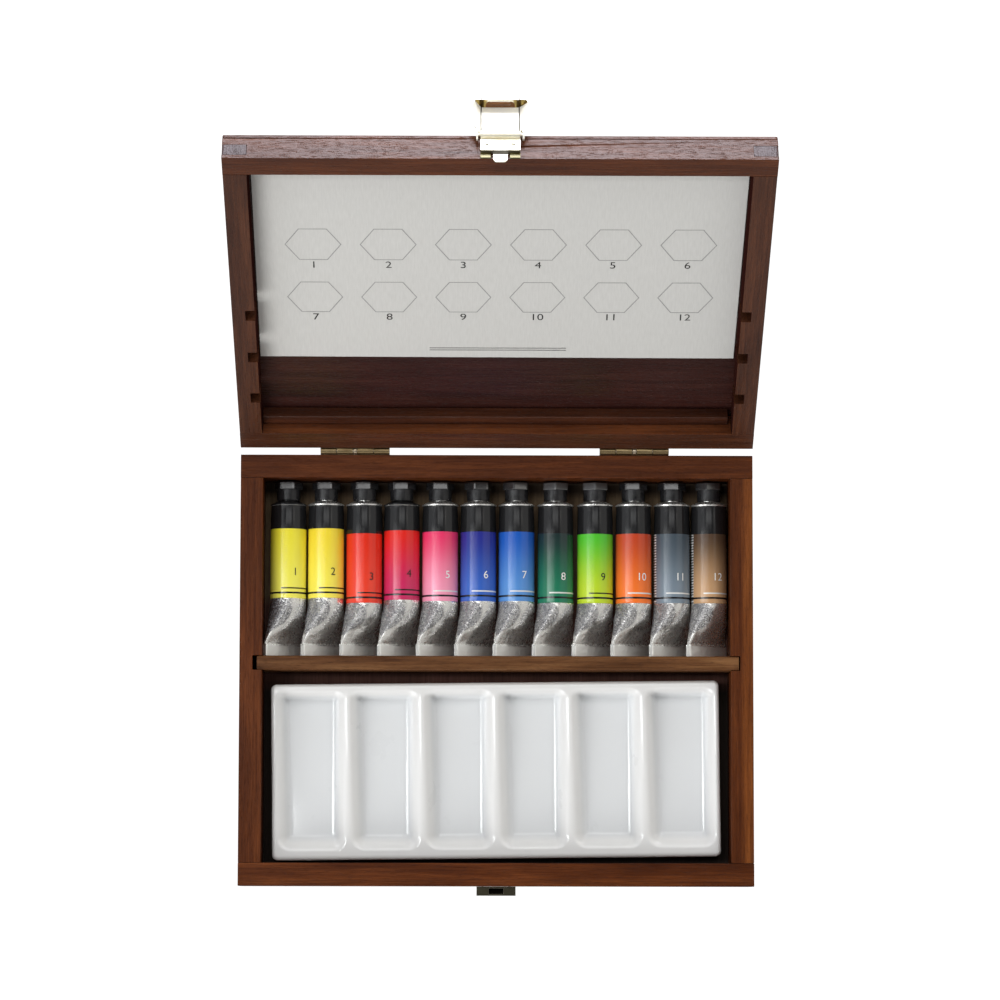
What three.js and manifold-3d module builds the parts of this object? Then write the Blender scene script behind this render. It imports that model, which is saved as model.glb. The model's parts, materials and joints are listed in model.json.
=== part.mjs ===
// Watercolour paint box: a finger-jointed wooden box with a leaning lid, brass
// hinges and latch, a loose divider, a porcelain palette and twelve paint tubes.
// Millimetres. X runs to the right, Y towards the hinges and Z up. The origin is
// the centre of the underside of the base. The lid is open and the flap raised.

import * as THREE from 'three';
import { mergeVertices } from 'three/addons/utils/BufferGeometryUtils.js';
import Module from 'manifold-3d';

const wasm = await Module();
wasm.setup();

// Clearances
const glueLine = 0.15;
const fitGap = 0.3;
const cutOverrun = 2;

// Steps on a rounded corner and on a rounded edge
const cornerSteps = 4;
const edgeSteps = 2;

// Box outside and walls
const boxWidth = 230;
const boxLength = 193;
const wallThickness = 10.3;
const baseWallHeight = 24;
const bottomThickness = 3;
const lidWallHeight = 11.1;
const lidPanelThickness = 2;
const rimGap = 0.3;
const lidOpenAngle = THREE.MathUtils.degToRad(121.8);

// Finger joints: the edges of the bands, as shares of the wall height from the rim
const baseFingerShares = [0.2, 0.4, 0.6, 0.8];
const lidFingerShares = [0.162, 0.694];

// Grooves for the divider
const grooveWidth = 6.6;
const grooveDepth = 4.5;
const dividerThickness = 6.4;
const dividerBelowRim = 1;
const dividerSideShift = 0.7;
const lidGrooveFirst = 35.6;
const lidGroovePitch = 28.2;
const lidGrooveCount = 3;

// Lid fittings
const battenWidth = 5.2;
const battenHeight = 5.5;
const battenEndGap = 1.6;
const cardThickness = 0.4;
const cardHeight = 130.2;
const cardSideGap = 0.5;
const cardTurn = THREE.MathUtils.degToRad(0.2);

// Hinges
const hingeLength = 31;
const hingeInsets = { left: 51.3, right: 53.2 };
const hingePinOffset = 1.8;
const hingePinRadius = 0.6;
const hingeKnuckleRadius = 1.45;
const hingeLeafThickness = 0.8;
const hingeLeafHeight = 9;
const hingeStopReach = 4.2;
const hingeStopHalfGap = 0.2;
const hingeSegments = 16;
const hingeScrewSpacing = 20;
// Knuckle edges along the hinge, as shares of its length: wide, wide, narrow, wide, wide
const knuckleShares = [0, 0.235, 0.47, 0.53, 0.765, 1];

// Hinge screws
const screwHeadRadius = 1.5;
const screwHeadHeight = 0.6;
const screwShankRadius = 0.7;
const screwLength = 6;
const screwSegments = 10;
const screwDomeShare = 0.55;

// Latch on the lid
const latchPlateWidth = 16.4;
const latchPlateDepth = 2.5;
const latchPlateTopAboveRim = 12;
const latchPlateFootAboveRim = 2.7;
const latchPivotAboveRim = 10.6;
const latchPivotOut = 3.2;
const latchBarrelRadius = 1.5;
const latchPinRadius = 0.7;
const latchFootThickness = 0.75;
const latchFootWidth = 4.2;
const tongueWidth = 5.9;
const tongueThickness = 0.8;
const tongueOut = 1.5;
const tongueBelowRim = 3.3;
const tongueTipRadius = 1.6;

// Latch flap, a dished cover with bulging sides
const flapSkinHalfWidth = 8.7;
const flapPivotHalfWidth = 10.4;
const flapEndHalfWidth = 11.6;
const flapBulge = 2.4;
const flapReach = 17.9;
const flapDepth = 6;
const flapMouthOut = 0.5;
const flapThickness = 0.8;
const flapSkinStart = 2;
const flapEarRadius = 2.5;
const flapStations = 8;
const flapBumpHalfWidth = 5.3;
const flapBumpHeight = 0.45;
const flapBumpNearShare = 0.25;
const flapBumpFarShare = 0.7;
const flapBumpTopShare = 0.72;
const flapRaisedAngle = THREE.MathUtils.degToRad(180);

// Catch on the base
const catchWidth = 17.4;
const catchThickness = 0.75;
const catchBelowRim = 0.8;
const catchHeight = 4.8;
const catchOut = 4.2;
const catchLipHeight = 2.2;
const catchWindowWidth = 6.6;

// Latch and catch nails
const nailHeadRadius = 1.1;
const nailHeadHeight = 0.5;
const nailShankRadius = 0.5;
const nailLength = 6;
const lidNailSpread = 5.5;
const lidNailAboveRim = 6.3;
const catchNailSpread = 6;
const catchNailBelowRim = 3.6;

// Palette, with its play in the front bay and the borders round its wells
const paletteSidePlay = 4.1;
const paletteEndPlay = 3.55;
const paletteShift = { x: -0.2, y: -1.5 };
const paletteTurn = THREE.MathUtils.degToRad(0.65);
const paletteHeight = 16;
const paletteCornerRadius = 4;
const paletteEdgeRadius = 1.6;
const wellCount = 6;
const wellRidge = 5.6;
const wellSideBorder = 3.8;
const wellBackBorder = 5.4;
const wellFrontBorder = 6.1;
const wellSideSlope = 3.6;
const wellBackSlope = 3;
const wellFrontSlope = 5.4;
const wellBackDepth = 8.5;
const wellFrontDepth = 6;

// Paint tubes
const tubeLength = 78.9;
const tubeRadius = 8.25;
const tubePlay = 0.8;
const tubeEndGap = 0.8;
const tubeRowLeftGap = 2.45;
// How far each tube lies from its even place in the row, as shares of the pitch
const tubeShiftShares = [0, -0.017, -0.016, -0.038, -0.032, -0.037, -0.036, -0.018, 0.018, 0.024, 0.028, 0];
const tubeSides = 16;
const tubeShoulderLength = 1.5;
const tubeFlattenLength = 19.5;
const finLength = 5.4;
const finHalfThickness = 0.45;
const finSideInset = 0.1;
const finShift = 1.3;
const finSquareness = 0.45;
const finTilt = THREE.MathUtils.degToRad(48);
const flattenShares = [0.25, 0.5, 0.72, 0.88];
const neckRadius = 3.6;

// Tube caps
const capAcrossFlats = 11.4;
const capHeadHeight = 3.4;
const capTaperShare = 0.94;
const capSkirtRadius = 5.3;
const capLength = 8.4;
const capTopThickness = 1.6;
const capSides = 6;
const skirtSides = 20;
// How far each cap is turned, as shares of one flat
const capTurnShares = [0.22, 0.22, 0.22, 0.22, 0.5, 0.7, 0.8, 0, 0, 0.37, 0.4, 0.8];

// Places worked out from the sizes above
const rimHeight = bottomThickness + baseWallHeight;
const halfWidth = boxWidth / 2;
const halfLength = boxLength / 2;
const innerHalfWidth = halfWidth - wallThickness;
const innerHalfLength = halfLength - wallThickness;
const lidRimHeight = rimHeight + rimGap;
const lidPanelUnderside = lidRimHeight + lidWallHeight;
const hingeCentres = { left: hingeInsets.left - halfWidth, right: halfWidth - hingeInsets.right };
const hingeAxis = new THREE.Vector3(0, halfLength + hingePinOffset, rimHeight + rimGap / 2);
const flapPivot = new THREE.Vector3(0, -halfLength - latchPivotOut, lidRimHeight + latchPivotAboveRim);
const frontFace = -halfLength;

// The bays: the back one takes a tube's length, and the front one is what the divider leaves
const tubeBayLength = tubeLength + tubeEndGap + fitGap;
const dividerMiddle = innerHalfLength - tubeBayLength - dividerThickness / 2;
const paletteBayLength = 2 * innerHalfLength - tubeBayLength - dividerThickness;

// The palette and its wells
const paletteWidth = 2 * (innerHalfWidth - paletteSidePlay);
const paletteLength = paletteBayLength - 2 * paletteEndPlay;
const wellPitch = (paletteWidth - 2 * wellSideBorder + wellRidge) / wellCount;
const wellWidth = wellPitch - wellRidge;
const wellFloorWidth = wellWidth - 2 * wellSideSlope;
const wellLength = paletteLength - wellBackBorder - wellFrontBorder;

// The row holds as many tubes as fit beside each other, from its left gap to the right wall
const tubeCount = Math.floor(2 * innerHalfWidth / (2 * tubeRadius + tubePlay));
const tubeRowStart = -innerHalfWidth + tubeRowLeftGap + tubeRadius;
const tubeRowEnd = innerHalfWidth - fitGap - tubeRadius;
const tubePitch = (tubeRowEnd - tubeRowStart) / (tubeCount - 1);

// Along a tube, from the top of its cap, and its folded end, which leans within the tube's own width
const neckStart = capTopThickness + 2 * fitGap;
const tubeShoulderStart = capLength + fitGap;
const tubeShoulderEnd = tubeShoulderStart + tubeShoulderLength;
const tubeFinStart = tubeLength - finLength;
const tubeFlattenStart = tubeFinStart - tubeFlattenLength;
const finHalfWidth = (tubeRadius - finSideInset) / Math.cos(finTilt);
const finLift = finHalfWidth * Math.sin(finTilt) - tubeRadius + fitGap;

// Finishes
const finish = (color, roughness, metalness) => ({ color, roughness, metalness });
const finishes = {
  wood: finish(0x5c2f1c, 0.45, 0),
  woodInside: finish(0x3a1b10, 0.55, 0),
  plywood: finish(0x8a7552, 0.7, 0),
  card: finish(0xd4d3cf, 0.8, 0),
  porcelain: finish(0xe8eaec, 0.12, 0),
  brass: finish(0xc9a75a, 0.28, 1),
  oldBrass: finish(0x8a744e, 0.38, 1),
  capPlastic: finish(0x0c0c0e, 0.35, 0),
};
const paintColours = [
  0xf2e21c, 0xf6d416, 0xd92a1c, 0xcf1f2e, 0xe2447f, 0x1d3fa6,
  0x1566b8, 0x0f6b52, 0x55b82e, 0xd96524, 0x5b6873, 0x7a5a3f,
];

const root = new THREE.Group();

function addPiece(parent, name, geometry, look) {
  const mesh = new THREE.Mesh(geometry, new THREE.MeshStandardMaterial(look));
  mesh.name = name;
  parent.add(mesh);
  return mesh;
}

// Solid modelling: closed meshes are joined and cut as solids

function solidOf(geometry) {
  const bare = new THREE.BufferGeometry();
  bare.setAttribute('position', geometry.getAttribute('position').clone());
  if (geometry.index) bare.setIndex(geometry.index.clone());
  const merged = mergeVertices(bare);
  return new wasm.Manifold(new wasm.Mesh({
    numProp: 3,
    vertProperties: Float32Array.from(merged.getAttribute('position').array),
    triVerts: Uint32Array.from(merged.index.array),
  }));
}

function geometryOf(solid) {
  const mesh = solid.getMesh();
  const geometry = new THREE.BufferGeometry();
  geometry.setAttribute('position', new THREE.BufferAttribute(mesh.vertProperties, mesh.numProp));
  geometry.setIndex(new THREE.BufferAttribute(mesh.triVerts, 1));
  geometry.computeVertexNormals();
  return geometry;
}

function join(...geometries) {
  return geometryOf(geometries.map(solidOf).reduce((whole, next) => whole.add(next)));
}

function cut(geometry, ...tools) {
  return geometryOf(tools.map(solidOf).reduce((whole, tool) => whole.subtract(tool), solidOf(geometry)));
}

// A block between two opposite corners
function block(low, high) {
  const size = new THREE.Vector3().subVectors(high, low);
  const middle = new THREE.Vector3().addVectors(low, high).multiplyScalar(0.5);
  return new THREE.BoxGeometry(size.x, size.y, size.z).translate(middle.x, middle.y, middle.z);
}

function blockAt(x0, x1, y0, y1, z0, z1) {
  return block(new THREE.Vector3(x0, y0, z0), new THREE.Vector3(x1, y1, z1));
}

// A rod along X between two ends, centred on a point of the YZ plane
function rodAlongX(radius, x0, x1, y, z, sides) {
  return new THREE.CylinderGeometry(radius, radius, x1 - x0, sides)
    .rotateZ(Math.PI / 2)
    .translate((x0 + x1) / 2, y, z);
}

// An outline in the YZ plane, drawn as [y, z] points, drawn out along X
function outlineAlongX(points, x0, x1) {
  const shape = new THREE.Shape(points.map(([y, z]) => new THREE.Vector2(y, z)));
  const depth = x1 - x0;
  return new THREE.ExtrudeGeometry(shape, { depth, bevelEnabled: false })
    .applyMatrix4(new THREE.Matrix4().makeBasis(
      new THREE.Vector3(0, 1, 0), new THREE.Vector3(0, 0, 1), new THREE.Vector3(1, 0, 0)))
    .translate(x0, 0, 0);
}

// A closed skin over rings of equal point count, with flat ends and its faces turned outwards
function skinOver(rings) {
  const sides = rings[0].length;
  const positions = rings.flat().flatMap((point) => point.toArray());
  const faces = [];
  for (let ring = 0; ring + 1 < rings.length; ring += 1) {
    for (let side = 0; side < sides; side += 1) {
      const next = (side + 1) % sides;
      const a = ring * sides + side;
      const b = ring * sides + next;
      faces.push(a, b, a + sides, b, b + sides, a + sides);
    }
  }
  const last = (rings.length - 1) * sides;
  for (let side = 1; side + 1 < sides; side += 1) {
    faces.push(0, side + 1, side);
    faces.push(last, last + side, last + side + 1);
  }
  const points = rings.flat();
  let volume = 0;
  for (let i = 0; i < faces.length; i += 3) {
    const [a, b, c] = faces.slice(i, i + 3).map((index) => points[index]);
    volume += a.dot(b.clone().cross(c));
  }
  if (volume < 0) faces.reverse();
  const geometry = new THREE.BufferGeometry();
  geometry.setAttribute('position', new THREE.Float32BufferAttribute(positions, 3));
  geometry.setIndex(faces);
  geometry.computeVertexNormals();
  return geometry;
}

// A group that turns what it holds about a point, with its pieces drawn at their closed places
function turningGroup(parent, point, angle) {
  const turned = new THREE.Group();
  turned.position.copy(point);
  turned.rotation.x = angle;
  const held = new THREE.Group();
  held.position.copy(point).negate();
  turned.add(held);
  parent.add(turned);
  return held;
}

const lid = turningGroup(root, hingeAxis, -lidOpenAngle);
const flapSide = turningGroup(lid, flapPivot, -flapRaisedAngle);

// Wooden walls with finger joints

// The bands of a wall's height that belong to its side walls, as [low, high] from the rim
function sideWallBands(shares, height) {
  const bands = [];
  for (let i = 0; i < shares.length; i += 2) {
    const end = i + 1 < shares.length ? shares[i + 1] : 1;
    bands.push([shares[i] * height, end * height]);
  }
  return bands;
}

// The other bands, which belong to the front and back walls
function crossWallBands(shares, height) {
  const edges = [0, ...shares.map((share) => share * height), height];
  const bands = [];
  for (let i = 0; i + 1 < edges.length; i += 2) {
    bands.push([edges[i], edges[i + 1]]);
  }
  return bands;
}

// level(d) gives the height of a point d away from the rim, into the wall
function crossWall(yOuter, yInner, shares, height, level) {
  const yLow = Math.min(yOuter, yInner);
  const yHigh = Math.max(yOuter, yInner);
  const zLow = Math.min(level(0), level(height));
  const zHigh = Math.max(level(0), level(height));
  const tools = [];
  for (const [near, far] of sideWallBands(shares, height)) {
    const z0 = Math.min(level(near), level(far));
    const z1 = Math.max(level(near), level(far));
    const open = far >= height ? cutOverrun : 0;
    for (const side of [-1, 1]) {
      const xs = [side * (halfWidth + cutOverrun), side * innerHalfWidth].sort((a, b) => a - b);
      tools.push(blockAt(xs[0], xs[1], yLow - cutOverrun, yHigh + cutOverrun, z0 - open, z1));
    }
  }
  return cut(blockAt(-halfWidth, halfWidth, yLow, yHigh, zLow, zHigh), ...tools);
}

function sideWall(side, shares, height, level, grooves) {
  const xs = [side * halfWidth, side * (innerHalfWidth + glueLine)].sort((a, b) => a - b);
  const zLow = Math.min(level(0), level(height));
  const zHigh = Math.max(level(0), level(height));
  const tools = [];
  for (const [near, far] of crossWallBands(shares, height)) {
    const z0 = Math.min(level(near), level(far)) - glueLine;
    const z1 = Math.max(level(near), level(far)) + glueLine;
    for (const end of [-1, 1]) {
      const ys = [end * (halfLength + cutOverrun), end * (innerHalfLength - glueLine)].sort((a, b) => a - b);
      tools.push(blockAt(xs[0] - cutOverrun, xs[1] + cutOverrun, ys[0], ys[1], z0, z1));
    }
  }
  const grooveXs = [side * (innerHalfWidth + grooveDepth), side * (innerHalfWidth - cutOverrun)].sort((a, b) => a - b);
  for (const y of grooves) {
    tools.push(blockAt(grooveXs[0], grooveXs[1], y - grooveWidth / 2, y + grooveWidth / 2,
      zLow - cutOverrun, zHigh + cutOverrun));
  }
  return cut(blockAt(xs[0], xs[1], -halfLength, halfLength, zLow, zHigh), ...tools);
}

const baseLevel = (depth) => rimHeight - depth;
const lidLevel = (depth) => lidRimHeight + depth;

// Round holes along Y through the face of a wall
function holesAlongY(places, radius, yFace, inward, depth) {
  return places.map(([x, z]) => new THREE.CylinderGeometry(radius, radius, depth + cutOverrun, screwSegments)
    .translate(x, yFace + inward * (depth - cutOverrun) / 2, z));
}

function hingeScrewPlaces(zSide) {
  const z = zSide < 0
    ? hingeAxis.z - (hingeLeafHeight + hingeStopReach) / 2
    : hingeAxis.z + (hingeLeafHeight + hingeStopReach) / 2;
  return Object.values(hingeCentres).flatMap((centre) => [-1, 1]
    .map((side) => [centre + side * hingeScrewSpacing / 2, z]));
}

const screwHoleRadius = screwShankRadius + fitGap;
const nailHoleRadius = nailShankRadius + fitGap;
const screwHoleDepth = screwLength + fitGap;
const nailHoleDepth = nailLength + fitGap;
const lidNailPlaces = [-lidNailSpread, lidNailSpread].map((x) => [x, lidRimHeight + lidNailAboveRim]);
const catchNailPlaces = [-catchNailSpread, catchNailSpread].map((x) => [x, rimHeight - catchNailBelowRim]);

function makeBaseWalls() {
  const height = baseWallHeight - glueLine;
  addPiece(root, 'base_front_wall', cut(
    crossWall(-halfLength, -innerHalfLength, baseFingerShares, height, baseLevel),
    ...holesAlongY(catchNailPlaces, nailHoleRadius, frontFace, 1, nailHoleDepth)), finishes.wood);
  addPiece(root, 'base_back_wall', cut(
    crossWall(halfLength, innerHalfLength, baseFingerShares, height, baseLevel),
    ...holesAlongY(hingeScrewPlaces(-1), screwHoleRadius, halfLength, -1, screwHoleDepth)), finishes.wood);
  for (const [name, side] of [['base_left_wall', -1], ['base_right_wall', 1]]) {
    addPiece(root, name, sideWall(side, baseFingerShares, height, baseLevel, [dividerMiddle]), finishes.wood);
  }
  addPiece(root, 'base_bottom_panel',
    blockAt(-halfWidth, halfWidth, -halfLength, halfLength, 0, bottomThickness), finishes.plywood);
}

function makeLidWalls() {
  const height = lidWallHeight - glueLine;
  const grooves = [];
  for (let i = 0; i < lidGrooveCount; i += 1) {
    grooves.push(halfLength - lidGrooveFirst - i * lidGroovePitch);
  }
  addPiece(lid, 'lid_front_wall', cut(
    crossWall(-halfLength, -innerHalfLength, lidFingerShares, height, lidLevel),
    ...holesAlongY(lidNailPlaces, nailHoleRadius, frontFace, 1, nailHoleDepth)), finishes.wood);
  addPiece(lid, 'lid_back_wall', cut(
    crossWall(halfLength, innerHalfLength, lidFingerShares, height, lidLevel),
    ...holesAlongY(hingeScrewPlaces(1), screwHoleRadius, halfLength, -1, screwHoleDepth)), finishes.wood);
  for (const [name, side] of [['lid_left_wall', -1], ['lid_right_wall', 1]]) {
    addPiece(lid, name, sideWall(side, lidFingerShares, height, lidLevel, grooves), finishes.wood);
  }
  addPiece(lid, 'lid_top_panel', blockAt(-halfWidth, halfWidth, -halfLength, halfLength,
    lidPanelUnderside, lidPanelUnderside + lidPanelThickness), finishes.wood);
}

function makeLidFittings() {
  const battenBack = innerHalfLength - glueLine;
  const battenTop = lidPanelUnderside - glueLine;
  addPiece(lid, 'lid_rear_batten', blockAt(
    -innerHalfWidth + glueLine, innerHalfWidth - battenEndGap,
    battenBack - battenWidth, battenBack,
    battenTop - battenHeight, battenTop), finishes.woodInside);
  const cardWidth = 2 * (innerHalfWidth - cardSideGap);
  const card = addPiece(lid, 'colour_chart_card',
    new THREE.BoxGeometry(cardWidth, cardHeight, cardThickness), finishes.card);
  card.position.set(0,
    -innerHalfLength + 2 * cardSideGap + cardHeight / 2,
    lidPanelUnderside - glueLine - cardThickness / 2);
  card.rotation.z = cardTurn;
}

function makeDivider() {
  const reach = innerHalfWidth + grooveDepth - 2 * fitGap - dividerSideShift;
  const divider = addPiece(root, 'compartment_divider', blockAt(-reach, reach,
    dividerMiddle - dividerThickness / 2, dividerMiddle + dividerThickness / 2,
    bottomThickness + fitGap, rimHeight - dividerBelowRim), finishes.wood);
  divider.position.x = dividerSideShift;
}

// Hinges: two leaves on the back faces, with knuckles round a pin and stops that meet when open

function hingeLeaf(side) {
  const leafY0 = halfLength + glueLine;
  const leafY1 = leafY0 + hingeLeafThickness;
  const knuckleClear = hingeKnuckleRadius + fitGap;
  const z = hingeAxis.z;
  const from = side * knuckleClear;
  const to = side * (hingeLeafHeight + rimGap);
  const leafZ = [z + from, z + to].sort((a, b) => a - b);
  const webZ = [z, z + 2 * from].sort((a, b) => a - b);
  const half = hingeLength / 2;
  const parts = [blockAt(-half, half, leafY0, leafY1, leafZ[0], leafZ[1])];
  const first = side < 0 ? 0 : 1;
  for (let i = first; i + 1 < knuckleShares.length; i += 2) {
    const x0 = (knuckleShares[i] - 0.5) * hingeLength + (i === 0 ? 0 : fitGap / 2);
    const x1 = (knuckleShares[i + 1] - 0.5) * hingeLength - (i + 2 === knuckleShares.length ? 0 : fitGap / 2);
    parts.push(rodAlongX(hingeKnuckleRadius, x0, x1, hingeAxis.y, z, hingeSegments));
    parts.push(blockAt(x0, x1, leafY0, leafY1, webZ[0], webZ[1]));
  }
  parts.push(hingeStop(side, half, leafY1));
  const boreRadius = hingePinRadius + fitGap;
  const holes = [-1, 1].map((end) => new THREE.CylinderGeometry(
    screwHoleRadius, screwHoleRadius, hingeLeafThickness + 2 * cutOverrun, screwSegments)
    .translate(end * hingeScrewSpacing / 2, (leafY0 + leafY1) / 2, hingeScrewPlaces(side)[0][1]));
  return cut(join(...parts),
    rodAlongX(boreRadius, -half - cutOverrun, half + cutOverrun, hingeAxis.y, z, hingeSegments), ...holes);
}

// A wedge on the leaf that fills its half of the angle left between the leaves when open
function hingeStop(side, half, leafFace) {
  const halfAngle = (Math.PI - lidOpenAngle) / 2;
  const clear = hingeKnuckleRadius + 2 * fitGap;
  const direction = new THREE.Vector2(Math.sin(halfAngle), Math.cos(halfAngle));
  const aside = new THREE.Vector2(-direction.y, direction.x).multiplyScalar(hingeStopHalfGap);
  const faceOut = leafFace - hingeAxis.y;
  const onBisector = (reach) => [direction.x * reach + aside.x, direction.y * reach + aside.y];
  const innerY = faceOut - hingeLeafThickness / 2;
  const points = [[innerY, clear], onBisector(clear), onBisector(hingeStopReach), [innerY, hingeStopReach]];
  const placed = points.map(([y, z]) => [hingeAxis.y + y, hingeAxis.z + side * z]);
  return outlineAlongX(side < 0 ? placed : placed.reverse(), -half, half);
}

function screwGeometry() {
  const rim = new THREE.Vector2(screwHeadRadius, screwHeadHeight * (1 - screwDomeShare));
  const profile = [
    new THREE.Vector2(0, -screwLength),
    new THREE.Vector2(screwShankRadius, -screwLength + screwShankRadius),
    new THREE.Vector2(screwShankRadius, 0),
    new THREE.Vector2(screwHeadRadius, 0),
    rim,
    new THREE.Vector2(screwHeadRadius * screwDomeShare, screwHeadHeight),
    new THREE.Vector2(0, screwHeadHeight),
  ];
  return new THREE.LatheGeometry(profile, screwSegments);
}

function makeHinges() {
  for (const [hand, centre] of Object.entries(hingeCentres)) {
    const spots = [['base', root, -1], ['lid', lid, 1]];
    for (const [place, parent, side] of spots) {
      const leaf = addPiece(parent, `hinge_${hand}_${place}_leaf`, hingeLeaf(side), finishes.oldBrass);
      leaf.position.x = centre;
      for (const [spot, end] of [['a', -1], ['b', 1]]) {
        const screw = addPiece(parent, `hinge_${hand}_${place}_screw_${spot}`, screwGeometry(), finishes.oldBrass);
        screw.position.set(centre + end * hingeScrewSpacing / 2,
          halfLength + 2 * glueLine + hingeLeafThickness, hingeScrewPlaces(side)[0][1]);
      }
    }
    const pin = addPiece(root, `hinge_${hand}_pin`,
      rodAlongX(hingePinRadius, -hingeLength / 2, hingeLength / 2, hingeAxis.y, hingeAxis.z, hingeSegments),
      finishes.oldBrass);
    pin.position.x = centre;
  }
}

// Latch plate on the lid: a formed plate with a rolled barrel, two feet and a tongue

function latchPlateGeometry() {
  const half = latchPlateWidth / 2;
  const wood = frontFace - glueLine;
  const face = frontFace - latchPlateDepth;
  const foot = lidRimHeight + latchPlateFootAboveRim;
  const top = lidRimHeight + latchPlateTopAboveRim;
  const body = blockAt(-half, half, face, wood, foot, top);
  const barrel = rodAlongX(latchBarrelRadius, -half, half, flapPivot.y, flapPivot.z, hingeSegments);
  const feet = [-1, 1].map((side) => {
    const xs = [side * half, side * (half - latchFootWidth)].sort((a, b) => a - b);
    return blockAt(xs[0], xs[1], wood - latchFootThickness, wood, lidRimHeight, foot + latchFootThickness);
  });
  const tongueShape = new THREE.Shape();
  const reach = tongueWidth / 2;
  const tip = lidRimHeight - tongueBelowRim;
  tongueShape.moveTo(-reach, foot + tongueThickness);
  tongueShape.lineTo(-reach, tip + tongueTipRadius);
  tongueShape.absarc(-reach + tongueTipRadius, tip + tongueTipRadius, tongueTipRadius, Math.PI, 1.5 * Math.PI, false);
  tongueShape.absarc(reach - tongueTipRadius, tip + tongueTipRadius, tongueTipRadius, 1.5 * Math.PI, 2 * Math.PI, false);
  tongueShape.lineTo(reach, foot + tongueThickness);
  const tongue = new THREE.ExtrudeGeometry(tongueShape,
    { depth: tongueThickness, bevelEnabled: false, curveSegments: cornerSteps })
    .rotateX(Math.PI / 2)
    .translate(0, frontFace - tongueOut, 0);
  const bore = rodAlongX(latchPinRadius + fitGap, -half - cutOverrun, half + cutOverrun,
    flapPivot.y, flapPivot.z, hingeSegments);
  const holes = holesAlongY(lidNailPlaces, nailHoleRadius, wood, -1, latchPlateDepth);
  return cut(join(body, barrel, ...feet, tongue), bore, ...holes);
}

// The flap is drawn closed, hanging from its pivot over the catch

function flapHalfWidth(share) {
  return flapPivotHalfWidth + (flapEndHalfWidth - flapPivotHalfWidth) * share + flapBulge * Math.sin(Math.PI * share);
}

function flapRings(wall, top, end) {
  const mouthY = frontFace - flapMouthOut;
  const skinY = frontFace - flapDepth + wall;
  const rings = [];
  for (let i = 0; i <= flapStations; i += 1) {
    const share = i / flapStations;
    const z = top + (end - top) * share;
    const mouth = flapHalfWidth(share) - wall;
    const skin = flapSkinHalfWidth - wall;
    const lip = wall > 0 ? cutOverrun : 0;
    const flare = lip * (mouth - skin) / (mouthY - skinY);
    rings.push([
      new THREE.Vector3(-mouth - flare, mouthY + lip, z),
      new THREE.Vector3(-skin, skinY, z),
      new THREE.Vector3(skin, skinY, z),
      new THREE.Vector3(mouth + flare, mouthY + lip, z),
    ]);
  }
  return skinOver(rings);
}

function flapGeometry() {
  const start = flapPivot.z - flapSkinStart;
  const end = flapPivot.z - flapReach;
  const outer = flapRings(0, start, end);
  const inner = flapRings(flapThickness, start + flapThickness, end + flapThickness);
  const shell = cut(outer, inner);
  const earHalf = flapPivotHalfWidth - flapThickness / 2;
  const ears = [-1, 1].flatMap((side) => {
    const xs = [side * earHalf, side * (earHalf - flapThickness)].sort((a, b) => a - b);
    const disc = rodAlongX(flapEarRadius, xs[0], xs[1], flapPivot.y, flapPivot.z, hingeSegments);
    const strap = blockAt(xs[0], xs[1], flapPivot.y - flapEarRadius, flapPivot.y + flapEarRadius,
      start - flapSkinStart, flapPivot.z);
    return [disc, strap];
  });
  const bore = rodAlongX(latchPinRadius + fitGap, -halfWidth, halfWidth, flapPivot.y, flapPivot.z, hingeSegments);
  return cut(join(shell, ...ears, flapBump(end + flapThickness)), bore);
}

// A raised snap on the flap's end wall that springs under the catch
function flapBump(seat) {
  const depth = flapDepth - flapThickness;
  const near = frontFace - depth * flapBumpNearShare;
  const far = frontFace - depth * flapBumpFarShare;
  const top = seat + flapBumpHeight;
  const seatBelow = seat - flapThickness / 2;
  const narrow = flapBumpHalfWidth * flapBumpTopShare;
  return skinOver([
    [
      new THREE.Vector3(-flapBumpHalfWidth, near, seatBelow),
      new THREE.Vector3(-flapBumpHalfWidth, far, seatBelow),
      new THREE.Vector3(flapBumpHalfWidth, far, seatBelow),
      new THREE.Vector3(flapBumpHalfWidth, near, seatBelow),
    ],
    [
      new THREE.Vector3(-narrow, near, top),
      new THREE.Vector3(-narrow, far, top),
      new THREE.Vector3(narrow, far, top),
      new THREE.Vector3(narrow, near, top),
    ],
  ]);
}

function nailGeometry() {
  const profile = [
    new THREE.Vector2(0, -nailLength),
    new THREE.Vector2(nailShankRadius, -nailLength + nailShankRadius),
    new THREE.Vector2(nailShankRadius, 0),
    new THREE.Vector2(nailHeadRadius, 0),
    new THREE.Vector2(nailHeadRadius * screwDomeShare, nailHeadHeight),
    new THREE.Vector2(0, nailHeadHeight),
  ];
  return new THREE.LatheGeometry(profile, screwSegments).rotateX(Math.PI);
}

function addNails(parent, stem, places, y) {
  for (const [i, hand] of ['left', 'right'].entries()) {
    const nail = addPiece(parent, `${stem}_${hand}`, nailGeometry(), finishes.brass);
    nail.position.set(places[i][0], y, places[i][1]);
  }
}

function makeLatch() {
  addPiece(lid, 'latch_lid_plate', latchPlateGeometry(), finishes.brass);
  addPiece(flapSide, 'latch_flap', flapGeometry(), finishes.brass);
  const pinHalf = flapPivotHalfWidth - flapThickness / 2;
  addPiece(flapSide, 'latch_pin',
    rodAlongX(latchPinRadius, -pinHalf, pinHalf, flapPivot.y, flapPivot.z, hingeSegments), finishes.brass);
  addNails(lid, 'latch_nail', lidNailPlaces, frontFace - latchPlateDepth - glueLine);
}

// Catch on the base: an angle plate with a window for the tongue and a turned-down lip

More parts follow.
